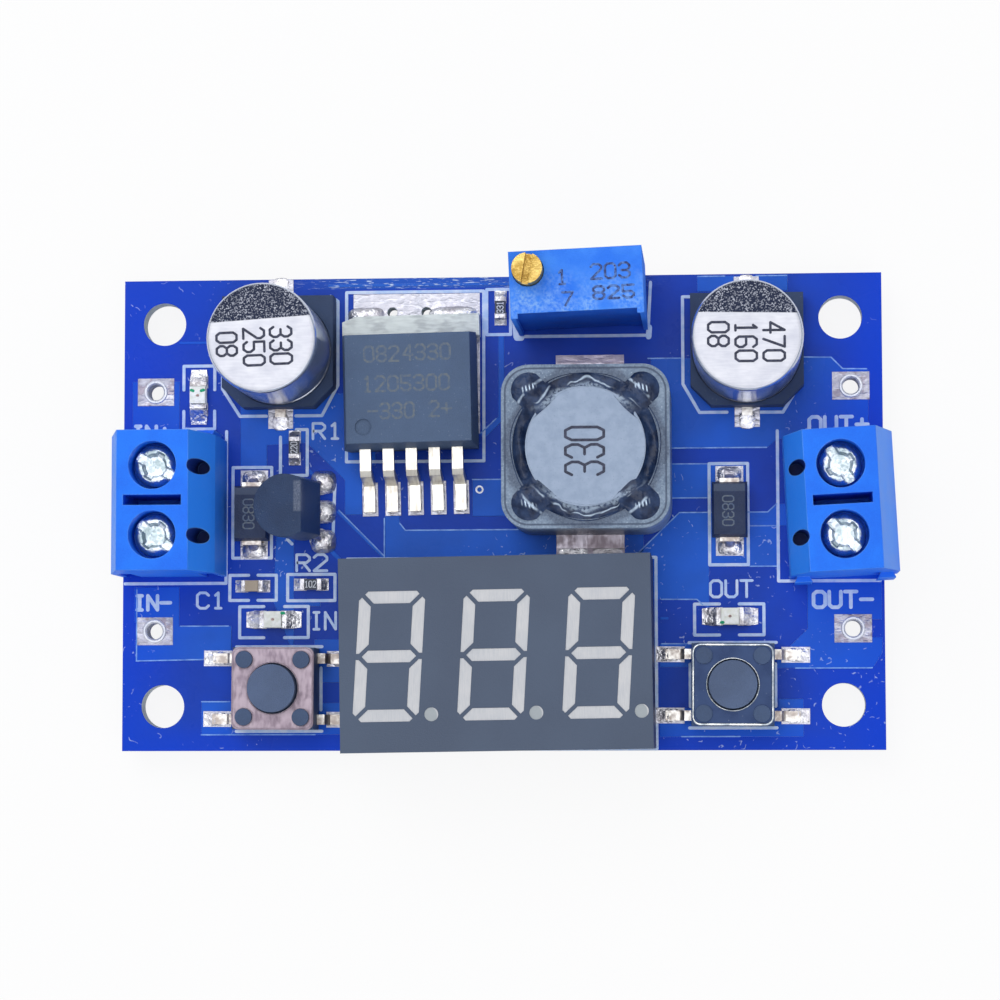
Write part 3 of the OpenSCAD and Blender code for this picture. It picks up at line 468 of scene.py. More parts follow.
finish, shader, at = new_finish("white screen ink", {"Specular IOR Level": 0.3})
thin = at.noise(1.6, 3)
thin.blend(paint(176, 204, 246), paint(214, 228, 252)).into(shader, "Base Color")
(0.5 + thin * 0.2).into(shader, "Roughness")
at.noise(6, 2).bump(0.01).into(shader, "Normal")
board_ink = finish

outlines = [
    [(-20.83, 9.4), (-19.5, 7.33), (-17.5, 7.33)],
    [(-15.3, 7.33), (-13.33, 7.33), (-12.14, 9.6), (-12.14, 15.9), (-12.7, 16.3)],
    [(-20.83, 9.4), (-20.83, 16)],
    [(14.2, 15.94), (13.57, 15.94), (13.57, 9.43), (14.78, 7.31), (16.81, 7.31)],
    [(18.96, 7.29), (20.93, 7.28), (22.13, 9.24), (22.13, 15.9)],
    [(-23.74, 9.35), (-23.74, 11.14), (-21.41, 11.14), (-21.41, 9.35)],
    [(-23.74, 7.75), (-23.74, 6.4), (-21.41, 6.4), (-21.41, 7.75)],
    *brackets((-19.46, -9.21), (-14.32, -6.9), (-17.65, -16.1)),
    *brackets((14.32, -9.15), (19.41, -6.87), (16.15, 17.6)),
    *brackets((-20.21, -6.43), (-16.72, -4.56), (-18.8, -18.1)),
    closed((-15.87, -6.47), (-12.33, -6.47), (-12.33, -4.52), (-15.87, -4.52)),
    [(-16.44, 5.75), (-16.44, 2.87), (-14.43, 2.87), (-14.43, 6.3), (-15.25, 6.3)],
    closed((-0.99, 13.27), (0.79, 13.27), (0.79, 16.66), (-0.99, 16.66)),
    [(-18.4, 3.49), (-20, 3.49), (-20, -3.28), (-17.1, -3.28), (-17.1, 3.49), (-18.4, 3.49)],
    closed((15.46, -3.98), (18.3, -3.98), (18.3, 3.5), (15.46, 3.5)),
    [(-12.75, 2.45), (-12.35, 2.2), (-12.5, -2.1), (-12.8, -2.3)],
    [(-15.9, -1.9), (-15.55, -2.25)],
    [(-11.49, 3.85), (-11.49, 16.55), (-1.22, 16.55), (-1.22, 3.85), (-11.49, 3.85)],
    [(1.1, 14.49), (1.3, 13.1), (10.81, 13.1)], [(11.21, 17.05), (11.0, 13.1)],
    closed((-11.4, -17.5), (11.5, -17.5), (11.5, -3.4), (-11.4, -3.4)),
    [(-20.5, 6.2), (-20.5, -5.15), (-28.1, -5.15)], [(20.5, 5.9), (20.5, -5.2), (27.95, -5.2)],
]
for x, y in SWITCHES.values():
    outlines += [[(x - 3.2, y + s * 3.13), (x + 3.2, y + s * 3.13)] for s in (-1, 1)]
    outlines += [[(x + s * 3.13, y - 1.55), (x + s * 3.13, y + 1.55)] for s in (-1, 1)]
words = lettered(
    ("R1", (-14.0, 5.6), (1, 0), 1.15, 1.2), ("R2", (-15.2, -4.25), (1, 0), 1.2, 1.3),
    ("C1", (-22.65, -7.0), (1, 0), 1.15, 1.15), ("IN", (-14.1, -8.6), (1, 0), 1.25, 1.05),
    ("OUT", (15.5, -6.35), (1, 0), 1.2, 1.12),
)
bold_words = lettered(
    ("IN+", (-27.55, 5.55), (1, 0), 1.1, 1.0), ("IN-", (-27.35, -7.1), (1, 0), 1.05, 0.98),
    ("OUT+", (22.85, 5.75), (1, 0), 1.15, 1.15), ("OUT-", (23.05, -7.15), (1, 0), 1.15, 1.15),
)
on_board = Matrix.Translation((0, 0, BOARD_TOP + 0.02))
ink("printed_outlines", outlines, 0.23, INK_RISE, on_board, board_ink, "board")
ink("printed_words", words, 0.2, INK_RISE, on_board, board_ink, "board")
ink("printed_polarity", bold_words, 0.27, INK_RISE, on_board, board_ink, "board")
feet = [[(1.1, 14.5), (1.2, 13.1)], [(1.25, 13.0), (1.6, 13.0)], [(11.1, 13.7), (11.05, 13.0)]]
ink("printed_feet", feet, 0.42, INK_RISE + 0.012, on_board, board_ink, "board")

# Pale lines along edges of the copper are painted highlights, the glint of light on the raised edges.
finish, shader, at = new_finish("painted copper edge highlight", {"Specular IOR Level": 0.5})
at.noise(1.2, 3).blend(paint(62, 118, 208), paint(128, 176, 240)).into(shader, "Base Color")
(0.25 + at.noise(2) * 0.2).into(shader, "Roughness")
at.noise(4, 2).bump(0.01).into(shader, "Normal")
edges = [
    [(-7.5, -0.75), (-7.08, -1.28), (1.3, -1.28)], [(-12.05, 0.25), (-8.65, -3.2)],
    [(-2.07, 2.46), (1.3, 2.46)],
    [(12.7, 4.68), (19.7, 4.68)], [(12.7, 3.5), (15.4, 3.5)], [(12.7, 0.98), (15.3, 0.98)],
    [(9.8, -3.45), (13.25, -0.1), (19.75, -0.1), (20.4, 0.5)], [(18.4, -1.12), (20.6, -1.12)],
    [(18.4, -4.1), (20.4, -4.1)], [(11.0, 11.37), (13.4, 11.37)],
    [(22.3, 11.36), (24.5, 11.32), (25.35, 10.46), (27.1, 10.44)], [(14.7, 17.45), (16.7, 17.45)],
    [(19.0, 17.45), (21.3, 17.45)], [(11.9, -6.5), (14.5, -6.52), (14.95, -6.95)],
    [(-23.9, -8.33), (-20.3, -8.33)],
    [(-2.1, 6.45), (-1.45, 5.9), (-0.3, 7.0)], [(21.7, -11.6), (27.3, -11.6)], [(13.3, -16.6), (17.6, -16.6)],
    [(-8.65, -0.4), (-8.65, -3.4)], [(-22.3, -13.95), (-20.2, -13.95)], [(-22.3, -16.4), (-13.8, -16.4)],
    [(11.9, -9.78), (13.9, -9.78)], [(-27.2, -5.6), (-27.2, -10.9), (-20.2, -10.78)],
]
on_copper = Matrix.Translation((0, 0, BOARD_TOP + 0.018))
ink("copper_edge_highlights", edges, 0.09, INK_RISE, on_copper, finish, "board")

# ---- Lands and solder ----
# Copper lands tinned in a hot bath, and the solder that wets every lead on them.
# Each wetted joint is a low mound, higher towards the lead and a little rippled.
LAND = 0.05
SWITCH_TURN = -0.45
INDUCTOR_X, INDUCTOR_Y = 6.68, 4.17
REGULATOR_AT = (-6.46, 8.89, 1.2)
CANS = {"input": (-16.43, 11.97), "output": (18.3, 11.8)}
DIODES = ((-18.39, -0.05), (16.95, 0))


def metal(name, colour, roughness=0.25, streak=(1, 1, 1), tarnish=None, share=0.6, relief=0.006, edge=0.04):
    """Bare or plated metal: streaks along its working direction, tarnish in patches, and edges painted lighter,
    partly as rubbed wear and partly as a painted highlight.
    """
    finish, shader, at = new_finish(name, {"Metallic": 1.0})
    run = at.stretched(*streak).noise(4.5, 3)
    patch = at.noise(0.9, 3)
    stain = (patch * 0.7 + run * 0.3).above(1 - share, 0.35)
    tone = stain.blend(colour, tarnish or toned(colour, 0.82))
    soft, edge_wear_and_highlight = at.softened_edges(edge)
    (edge_wear_and_highlight * 0.6).blend(tone, toned(colour, 1.25)).into(shader, "Base Color")
    (roughness + run * 0.1 + stain * 0.12).into(shader, "Roughness")
    run.bump(relief, soft).into(shader, "Normal")
    return finish


solder = metal(
    "bright solder", paint(222, 222, 227), 0.25, tarnish=paint(186, 182, 188), share=0.4, relief=0.03
)
tinned_wire = metal("tinned wire", paint(212, 210, 206), 0.28, tarnish=paint(164, 154, 148), share=0.5)

# The lands that hand soldering never reached have gone dull, and pinkish below the coil.
finish, shader, at = new_finish("tinned land", {"Metallic": 0.8})
x, y = at.axis("X"), at.axis("Y")
patch, ripple = at.noise(1.6, 3), at.stretched(1, 2.2, 1).noise(1.6, 3)
bright = patch.blend(paint(180, 181, 192), paint(198, 197, 206))
dull = patch.blend(paint(150, 150, 164), paint(186, 186, 198))
dull = (at.noise(1.5, 3).above(0.68, 0.12) * 0.45).blend(dull, paint(120, 98, 112))
coil = (x - INDUCTOR_X).size().below(2.7, 0.1) * (y - INDUCTOR_Y).size().below(8, 0.1)
tone = x.size().above(24.4, 0.1).blend(bright, dull)
coil.blend(tone, patch.blend(paint(180, 172, 188), paint(204, 194, 206))).into(shader, "Base Color")
(0.34 + ripple * 0.2 + coil * 0.1).into(shader, "Roughness")
soft, _ = at.softened_edges(0.04)
ripple.bump(0.05, soft).into(shader, "Normal")
coat(finish, "solder_pads")
coat(solder, "solder_joints")

chance = random.Random(7)


def seat(x, y, turn=0.0, lift=0.0):
    """A place on the component side: where a part stands, and its turn in degrees."""
    return Matrix.Translation((x, y, BOARD_TOP + lift)) @ Matrix.Rotation(math.radians(turn), 4, "Z")


def mound(shape, x, y, turn, length, width, height, lean=0.0):
    """A mound of solder on an oval foot; it leans towards its own +X end."""
    place = seat(x, y, turn, 0.04)
    rings, steps = 7, 20
    waves = [chance.uniform(0, math.tau) for _ in range(3)]
    rims = []
    for ring in range(rings + 1):
        share = ring / rings
        rim = []
        for step in range(steps):
            angle = math.tau * step / steps
            c, s = math.cos(angle), math.sin(angle)
            square = (abs(c) ** 3.4 + abs(s) ** 3.4) ** (-1 / 3.4)
            px, py = share * square * c, share * square * s
            rise = (1 - share ** 2.2) ** 0.8 * (1 + lean * px)
            rise *= 1 + 0.05 * math.sin(3 * angle + waves[0]) * share + 0.03 * math.sin(6 * px + waves[1])
            rim.append(shape.mesh.verts.new(place @ Vector((px * length / 2, py * width / 2, rise * height))))
            if ring == 0:
                break
        rims.append(rim)
    shape.domed(rims)


def ends(x, y, turn, reach):
    """The two ends of a part that lies along its own X: place, and direction towards the middle."""
    for side in (-1, 1):
        spot = seat(x, y, turn) @ Vector((side * reach, 0, 0))
        yield spot.x, spot.y, turn + (0 if side < 0 else 180)


def fillet(shape, x, y, turn, length, width, height):
    """Solder drawn up from the outer end of a land to a part's end face, with a crease down its middle."""
    place = seat(x, y, turn, 0.03)
    along, across = 7, 10
    wave = chance.uniform(0, math.tau)
    top, skirt = [], []
    for i in range(along + 1):
        u = i / along
        row, low = [], []
        for j in range(across + 1):
            v = 2 * j / across - 1
            crease = 0.1 * height * math.exp(-14 * v * v) * u
            rise = height * (0.08 + 0.8 * u ** 1.4) * (1 - 0.35 * v * v) - crease
            rise += 0.02 * math.sin(5 * v + 4 * u + wave)
            spot = Vector(((u - 0.5) * length, v * width / 2 * (1 - 0.12 * (1 - u) ** 2), 0))
            row.append(shape.mesh.verts.new(place @ (spot + Vector((0, 0, max(rise, 0.02))))))
            low.append(shape.mesh.verts.new(place @ (spot - Vector((0, 0, 0.03)))))
        top.append(row)
        skirt.append(low)
    for grid in (top, skirt):
        for one, two in zip(grid, grid[1:]):
            for j in range(across):
                shape.mesh.faces.new((one[j], one[j + 1], two[j + 1], two[j]))
    for i in range(along):
        for j in (0, across):
            shape.mesh.faces.new((top[i][j], top[i + 1][j], skirt[i + 1][j], skirt[i][j]))
    for j in range(across):
        for i in (0, along):
            shape.mesh.faces.new((top[i][j], top[i][j + 1], skirt[i][j + 1], skirt[i][j]))


wetting = Shape()
chips = [
    (-15.36, 4.93, 90, 1.6, 0.8, 0.42), (-14.1, -5.28, 0, 1.6, 0.8, 0.42), (0.05, 15.26, 90, 1.6, 0.8, 0.42),
    (-18.48, -5.38, 0, 1.6, 0.8, 0.5), (-22.59, 8.9, 90, 2, 1.25, 0.6), (-16.89, -7.88, 0, 2, 1.25, 0.6),
    (16.93, -7.79, 0, 2, 1.25, 0.6),
]
for x, y, turn, length, width, tall in chips:
    run = 0.52 if length < 2 else 1.08
    for ex, ey, way in ends(x, y - (0.1 if x < -22 else 0), turn, (length + run) / 2 - 0.02):
        fillet(wetting, ex, ey, way, run, width * 1.06, tall)
for x, y in DIODES:
    for ex, ey, way in ends(x, y, 90, 2.72):
        mound(wetting, ex, ey, way, 1.15, 1.8, 0.3, lean=0.5)
    for ex, ey, way in ends(x, y, 90, 2.3):
        mound(wetting, ex, ey, way, 0.95, 0.85, 1.1, lean=0.3)
for x, y in CANS.values():
    for ex, ey, way in ends(x, y, 90, 5.1):
        mound(wetting, ex, ey, way, 1.3, 1.25, 0.12, lean=0.5)
for x, y in SWITCHES.values():
    for side in (-1, 1):
        for ex, ey, way in ends(x, y + side * 2.25, SWITCH_TURN, 5.15):
            fillet(wetting, ex, ey, way, 0.85, 0.95, 0.3)
        for ex, ey, way in ends(x, y + side * 2.25, SWITCH_TURN, 4.35):
            mound(wetting, ex, ey, way, 0.8, 1.05, 0.14)
for k in (-1, 0, 1):
    mound(wetting, -13.2, 0.13 + k * 2.2, 0, 1.9, 1.75, 0.6)
for side in (-1, 1):
    mound(wetting, INDUCTOR_X + side * 1.25, INDUCTOR_Y - 7.1, 0, 2.2, 0.85, 0.12)
for k in range(-2, 3):
    foot = seat(*REGULATOR_AT) @ Vector((k * 1.7, -7.85, 0))
    mound(wetting, foot.x, foot.y, 1.2, 1.02, 2.15, 0.12)
for x, wide in ((-10.0, 2.7), (-3.5, 3.6)):
    mound(wetting, x, 14.8, 1.2, wide, 1.25, 0.4)
wetting.piece("wetted_solder", solder, "module", "solder")

barrels = Shape()
for x, y in ((-25.85, 9.2), (-25.85, -8.7), (25.93, 9.2), (25.93, -8.7)):
    top, low = BOARD_TOP + 0.05, -0.05
    profile = [(0.645, top - 0.02), (0.9, top - 0.01), (0.82, top + 0.07), (0.7, top + 0.07), (0.6, top - 0.05),
               (0.6, low + 0.05), (0.7, low - 0.07), (0.82, low - 0.07), (0.9, low + 0.01), (0.645, low + 0.02),
               (0.645, top - 0.02)]
    barrels.turned(profile, Matrix.Translation((x, y, 0)), 40)
small = [(0, BOARD_TOP), (0.3, BOARD_TOP), (0.3, BOARD_TOP + 0.06), (0.2, BOARD_TOP + 0.07),
         (0.14, BOARD_TOP + 0.02), (0, BOARD_TOP + 0.01)]
barrels.turned(small, Matrix.Translation((-1.55, 1.71, 0)), 20)


def clouded(name, low, high, noise, roughness, relief, sockets):
    """A finish of two tones mixed by one noise, which also adds to its roughness and relief."""
    finish, shader, at = new_finish(name, sockets)
    cloud = at.noise(*noise)
    cloud.blend(low, high).into(shader, "Base Color")
    (roughness[0] + cloud * roughness[1]).into(shader, "Roughness")
    cloud.bump(relief).into(shader, "Normal")
    return finish


plated = clouded(
    "plated barrel", paint(196, 200, 212), paint(226, 228, 234), (2, 3), (0.25, 0.2), 0.02, {"Metallic": 0.35}
)
barrels.piece("plated_barrels", plated, "module", "lands")

# ---- Screw terminals ----
# Two-pole blocks moulded in bright blue plastic; tinned brass contacts are pressed in from below.
# A zinc-plated screw with a combined cross and slot draws a square cage up round each wire.


def moulded(name, colour, roughness=0.4, cloud=0.1, grain=0.01, edge=0.06, gloss=0.0, dust=0.0, edge_wear_and_highlight_tone=1.35):
    """Moulded plastic: cloudy colour, a fine grain, and soft edges painted lighter, partly as rubbed wear and
    partly as a painted highlight.
    """
    finish, shader, at = new_finish(name, {"Coat Weight": gloss, "Coat Roughness": 0.15})
    haze = at.noise(0.4, 3)
    grit = at.noise(11, 2)
    soft, edge_wear_and_highlight = at.softened_edges(edge)
    tone = (haze * 0.7 + grit * 0.3).blend(toned(colour, 1 - 1.4 * cloud), toned(colour, 1 + 1.4 * cloud))
    if dust:
        lint = at.specks(5, 0.09) * at.noise(0.8, 2).above(0.6, 0.2)
        tone = (lint * dust).blend(tone, paint(205, 212, 226))
    (edge_wear_and_highlight * (0.4 + haze * 0.4)).blend(tone, toned(colour, edge_wear_and_highlight_tone)).into(shader, "Base Color")
    (roughness + haze * 0.1 + grit * 0.06).into(shader, "Roughness")
    grit.bump(grain, soft).into(shader, "Normal")
    return finish


finish, shader, at = new_finish("bright blue terminal plastic")
x, y, z = at.axis("X"), at.axis("Y"), at.axis("Z")
haze, grit = at.noise(0.4, 3), at.noise(11, 2)
soft, edge_wear_and_highlight = at.softened_edges(0.12)
# Painted light: the inward-facing chamfers are painted lighter, and the outward slopes of the thin walls above
# the chambers get a painted glow, light shining through them.
outward = at.add("ShaderNodeNewGeometry", out="Normal").axis("X") * x * 0.04
tone = (haze * 0.7 + grit * 0.3).blend(paint(16, 106, 236), paint(32, 124, 250))
tone = (outward.below(-0.15, 0.1) * x.size().below(22.5, 0.1)).blend(tone, paint(46, 138, 255))
glow = outward.above(0.15, 0.1) * x.size().above(26.7, 0.1) * (z.above(6.5, 2.5) * 0.3 + 0.05)
tone = glow.blend(tone, paint(110, 180, 255))
# The probe holes are painted dark, as painted shade inside them.
for hole_x, hole_y in ((-21.25, 2.9), (-21.25, -2.1), (21.75, 2.47), (22.0, -2.52)):
    dx, dy = x - hole_x, y - hole_y
    probe_hole_shade = (dx * dx + dy * dy).below(0.33, 0.03) * z.above(5, 0.1)
    tone = probe_hole_shade.blend(tone, paint(14, 44, 124))
# Edges painted lighter: partly rubbed deburred wear, partly a painted highlight.
(edge_wear_and_highlight * (0.25 + haze * 0.5)).blend(tone, paint(118, 176, 255)).into(shader, "Base Color")
(0.4 + haze * 0.1 + grit * 0.06).into(shader, "Roughness")
grit.bump(0.006, soft).into(shader, "Normal")
terminal_blue = finish
zinc = metal("zinc plating", paint(212, 220, 226), 0.26, tarnish=paint(158, 174, 178), share=0.5, relief=0.02)
nickel = metal("nickel plating", paint(206, 205, 200), 0.22)
for end in ("input", "output"):
    coat(terminal_blue, end + "_terminal_housing")
    coat(tinned_wire, end + "_terminal_pins")
    coat(nickel, end + "_plus_cage", end + "_minus_cage")
    coat(zinc, end + "_plus_screw", end + "_minus_screw")

wires = new_tree("screw thread", {"Radius": "Float", "Length": "Float", "Pitch": "Float", "Metal": "Material"})
begin = wires["Radius"]
helix = begin.add("GeometryNodeCurveSpiral", inputs={
    "Resolution": 20, "Rotations": wires["Length"].maths("DIVIDE", wires["Pitch"]),
    "Start Radius": wires["Radius"], "End Radius": wires["Radius"], "Height": wires["Length"],
})
ridge = begin.add("GeometryNodeCurvePrimitiveCircle", inputs={"Resolution": 3, "Radius": wires["Pitch"] * 0.42})
sweep = {"Curve": helix, "Profile Curve": ridge, "Fill Caps": True}
flight = begin.add("GeometryNodeCurveToMesh", inputs=sweep)
screw_thread = close_tree(flight, wires["Metal"])


def step(value):
    """0 to 1 with soft ends."""
    value = max(0.0, min(1.0, value))
    return value * value * (3 - 2 * value)


for name, x, y, turn in (
    ("input_plus", -24.3, 2.9, -30), ("input_minus", -24.3, -2.1, -38),
    ("output_plus", 24.7935, 2.6268, -57), ("output_minus", 25.0465, -2.3668, -46),
):
    screw = Shape()
    place = seat(x, y, turn)
    steps, rings, radius = 96, 30, 1.5
    rims = []
    for ring in range(rings + 1):
        r = radius * ring / rings
        rim = []
        for k in range(steps):
            u, v = r * math.cos(math.tau * k / steps), r * math.sin(math.tau * k / steps)
            slot = step((0.42 - abs(v)) / 0.1)
            cross = step((0.32 - abs(u)) / 0.1) * step((1.12 - abs(v)) / 0.2)
            bowl = step((0.92 - r) / 0.22)
            z = 9.1 - 0.04 * r * r - 0.36 * max(0, (r - 1.08) / 0.42) ** 2
            floor = min(z, 8.62 - 0.06 * bowl + 0.02 * math.cos(5 * u))
            z += (floor - z) * max(slot, cross, bowl)
            rim.append(screw.mesh.verts.new(place @ Vector((u, v, z))))
            if ring == 0:
                break
        rims.append(rim)
    turns = [math.tau * k / steps for k in range(steps)]
    rims.append([
        screw.mesh.verts.new(place @ Vector((radius * math.cos(t), radius * math.sin(t), 7.6))) for t in turns
    ])
    screw.domed(rims)
    screw.turned([(0, 3.6), (0.85, 3.6), (1.08, 3.8), (1.08, 7.62), (0, 7.62)], place, 24)
    source = bpy.data.meshes.new("thread")
    sizes = {"Radius": 1.06 * MM, "Length": 3.5 * MM, "Pitch": 0.45 * MM, "Metal": zinc}
    thread = grown(screw_thread, source, sizes)
    screw.take(thread, place @ Matrix.Translation((0, 0, 3.95)))
    screw.piece(name + "_clamp_screw", zinc, name + "_screw", "zinc_screw", stands_for=[name + "_screw"])

# ---- Electrolytic capacitors ----
# Drawn aluminium cans crimped over a rubber seal, on a black moulded base with flat leads.
# A black segment on top marks the minus side; the values are printed in dark ink.


def can_finish(name, centre, chord):
    """Bright can whose top is coated white, with a speckled black segment beyond a chord."""
    finish, shader, at = new_finish(name, {"IOR": 1.45})
    (cx, cy), ((ax, ay), (bx, by)) = centre, chord
    x, y, z = at.axis("X") - cx, at.axis("Y") - cy, at.axis("Z")
    slope = (by - ay) / (bx - ax)
    over = (y - (x * slope + (ay - cy - slope * (ax - cx)))).above(0, 0.03)
    reach = (x * x + y * y).maths("SQRT")
    lid = z.above(11.74, 0.04)
    top, black = lid * reach.below(3.8, 0.04), lid * over * reach.below(3.93, 0.03)
    salt = at.noise(9, 1).above(0.74, 0.2) * (0.4 + at.noise(1.5, 2) * 0.6)
    mottle = at.noise(0.7, 3) * 0.6 + at.stretched(0.6, 4, 1).noise(1.6, 3) * 0.4
    white = mottle.blend(paint(200, 202, 214), paint(224, 225, 233))
    tone = top.blend(paint(206, 212, 226), white)
    tone = black.blend(tone, salt.blend(paint(34, 42, 66), paint(186, 190, 204)))
    tone.into(shader, "Base Color")
    drawn = at.stretched(1, 1, 0.12).noise(2.2, 2)
    (0.95 - black * 0.95 - top * (1 - black) * 0.75).into(shader, "Metallic")
    (0.2 + drawn * 0.06 + top * 0.25 + black * 0.2).into(shader, "Roughness")
    (drawn * 0.12 + salt * black).bump(0.012).into(shader, "Normal")
    return finish


coat(can_finish("input can", CANS["input"], ((-20.24, 13.05), (-12.88, 13.55))), "input_capacitor_can")
coat(can_finish("output can", CANS["output"], ((14.76, 13.45), (21.89, 13.33))), "output_capacitor_can")
base_black = moulded("black base plastic", paint(52, 68, 98), 0.5, 0.12, 0.012, 0.08, dust=0.3)
rubber = moulded("black rubber", paint(30, 31, 34), 0.7, 0.1, 0.01, 0)
foil = moulded("wound foil and paper", paint(150, 136, 104), 0.6)
coat(base_black, "input_capacitor_base", "output_capacitor_base")
coat(rubber, "capacitor_seals", "trimmer_seal")
coat(foil, "capacitor_foil_rolls")
coat(tinned_wire, "capacitor_leads")

MATT_INK = {"Specular IOR Level": 0.3}
dark_ink = clouded(
    "dark marking ink", paint(34, 38, 56), paint(70, 74, 94), (5, 3), (0.5, 0.2), 0.005, MATT_INK
)
CAN_HEIGHT = 10.2
can_top = Matrix.Translation((0, 0, BOARD_TOP + LAND + CAN_HEIGHT))
values = lettered(
    ("330", (-15.8, 12.7), (0.03, -1), 1.55, 0.97), ("250", (-17.72, 12.6), (0.03, -1), 1.5, 0.97),
    ("08", (-19.65, 12.3), (0.03, -1), 1.45, 0.95),
    ("470", (19.42, 12.65), (0, -1), 1.5, 1.0), ("160", (17.45, 12.65), (0, -1), 1.5, 1.0),
    ("08", (15.52, 12.7), (0, -1), 1.45, 0.98),
)
ink("capacitor_values", values, 0.18, 0.03, can_top, dark_ink, "can")

# ---- Regulator ----
# A five-lead power package: grey-black epoxy moulded round a tinned copper tab.
# Its bent leads are stamped from the same sheet; the face bears rows of faint laser-marked figures.
epoxy = moulded("grey-black epoxy", paint(82, 101, 130), 0.5, 0.06, 0.02, 0.09, dust=0.5, edge_wear_and_highlight_tone=1.15)
coat(epoxy, "regulator_body")
satin_tin = metal(
    "satin tinned tab", paint(219, 224, 223), 0.74, (0.3, 1.4, 1), paint(215, 219, 219), 0.4, 0.0003
)
strip_tin = metal(
    "tinned strip", paint(222, 219, 210), 0.32, (1.5, 0.2, 0.2), paint(204, 198, 188), 0.35, 0.004
)
coat(satin_tin, "regulator_tab")
coat(strip_tin, "regulator_leads")
laser_mark = clouded(
    "faint laser mark", paint(82, 100, 126), paint(112, 120, 126), (4, 3), (0.55, 0.2), 0.004, MATT_INK
)
rows = lettered(
    ("082", (-3.15, 2.0), (1, 0), 1.1, 0.92), ("4330", (-0.3, 2.05), (1, 0), 1.1, 0.92),
    ("1205300", (-3.3, -0.2), (1, 0), 1.1, 0.94),
    ("-330", (-2.95, -2.2), (1, 0), 1.1, 0.9), ("2+", (1.55, -2.15), (1, 0), 1.1, 0.92),
)
REGULATOR_HEIGHT = 4.35
regulator_top = seat(*REGULATOR_AT, LAND + REGULATOR_HEIGHT)
ink("regulator_values", rows, 0.17, 0.015, regulator_top, laser_mark, "epoxy_body")

# ---- Shielded inductor ----
# A wound ferrite bobbin stands in a square ferrite shield; both are varnished grey.
# Black adhesive fills the ring between them and stands up as a glossy bead at each corner.
finish, shader, at = new_finish("varnished ferrite", {"Coat Weight": 0.15, "Coat Roughness": 0.15})
pits, film = at.noise(5, 3), at.noise(0.8, 3)
soft, edge_wear_and_highlight = at.softened_edges(0.12)
x, y = (at.axis("X") - INDUCTOR_X).size(), (at.axis("Y") - INDUCTOR_Y).size()
over_x, over_y = (x - 4.05).maths("MAXIMUM", 0), (y - 3.9).maths("MAXIMUM", 0)
inset = 2 - (over_x * over_x + over_y * over_y).maths("SQRT")
seam = inset.above(0.22, 0.04) * inset.below(0.34, 0.05)
spill = (5.25 - (x * x + y * y).maths("SQRT") + film * 0.5).above(-0.4, 0.25)
glint = at.noise(7, 2)
grey = (film * 0.5 + glint * 0.5).blend(paint(92, 110, 134), paint(140, 158, 180))
grey = (at.specks(5, 0.16) * glint).blend(grey, paint(186, 200, 214))
grey = (spill * 0.75).blend(grey, (glint * 0.6).blend(paint(44, 58, 84), paint(84, 100, 124)))
grey = (seam * 0.8).blend(grey, paint(44, 58, 84))
# Edges painted lighter: partly rubbed wear, partly a painted highlight.
(edge_wear_and_highlight * 0.25).blend(grey, paint(160, 178, 200)).into(shader, "Base Color")
(0.34 + pits * 0.16 - spill * 0.15).into(shader, "Roughness")
(pits * 0.5 + film - seam * 0.8).bump(0.03, soft).into(shader, "Normal")
coat(finish, "inductor_shield")

finish, shader, at = new_finish("pale ferrite disc", {"Coat Weight": 0.1})
dots, film = at.specks(4.5, 0.14), at.noise(1.4, 3)
pale = film.blend(paint(142, 159, 184), paint(156, 172, 196))
(dots * 0.35).blend(pale, paint(108, 124, 150)).into(shader, "Base Color")
(0.45 + film * 0.15).into(shader, "Roughness")
soft, _ = at.softened_edges(0.1)
(film + dots * 0.5).bump(0.012, soft).into(shader, "Normal")
coat(finish, "inductor_core")
coat(metal("enamelled copper", paint(190, 108, 58), 0.3, (1, 1, 4)), "inductor_winding")
clip = metal("tinned clip", paint(196, 190, 202), 0.38, (1, 0.3, 1), paint(172, 160, 170), 0.5, 0.01)
coat(clip, "inductor_terminals")

finish, shader, at = new_finish("glossy black adhesive", {"Specular IOR Level": 0.2})
x, y = at.axis("X") - INDUCTOR_X, at.axis("Y") - INDUCTOR_Y
radius = (x * x + y * y).maths("SQRT")
wave = radius + at.noise(0.55, 2) * 0.5
ends_only = (y.size() + at.noise(0.6, 1) * 0.6).above(3.2, 0.6)
# The pale film band, fine lines, hatching on the lobes and outer rim are painted highlights on the glossy
# adhesive.
film = wave.above(4.3, 0.08) * wave.below(4.85, 0.12) * ends_only * at.noise(5, 2).above(0.3, 0.5)
line = (wave - 5.08).size().below(0.05, 0.05) * ends_only * at.noise(0.8, 1).above(0.35, 0.2)
ripples = ((x + y * 0.15) * 24).maths("SINE").above(0.3, 0.5)
hatch = ripples * (y.size() + x.size() * 0.35 - 5.62).size().below(0.2, 0.1)
hatch = hatch * (x.size() - 4.05).size().below(0.5, 0.15)
rim = (radius - 5.75).size().below(0.09, 0.07) * at.noise(0.9, 2).above(0.5, 0.2)
shine = (film * 0.55).maths("MAXIMUM", line * 0.8).maths("MAXIMUM", hatch).maths("MAXIMUM", rim * 0.7)
flow = at.noise(1.1, 3)
shine.blend(flow.blend(paint(16, 30, 58), paint(46, 64, 98)), paint(178, 196, 216)).into(shader, "Base Color")
(shine * 0.3).into(shader, "Metallic")
(0.1 + flow * 0.12 + film * 0.2).into(shader, "Roughness")
(at.noise(1.6, 2) + shine * 0.4).bump(0.05).into(shader, "Normal")
adhesive = finish

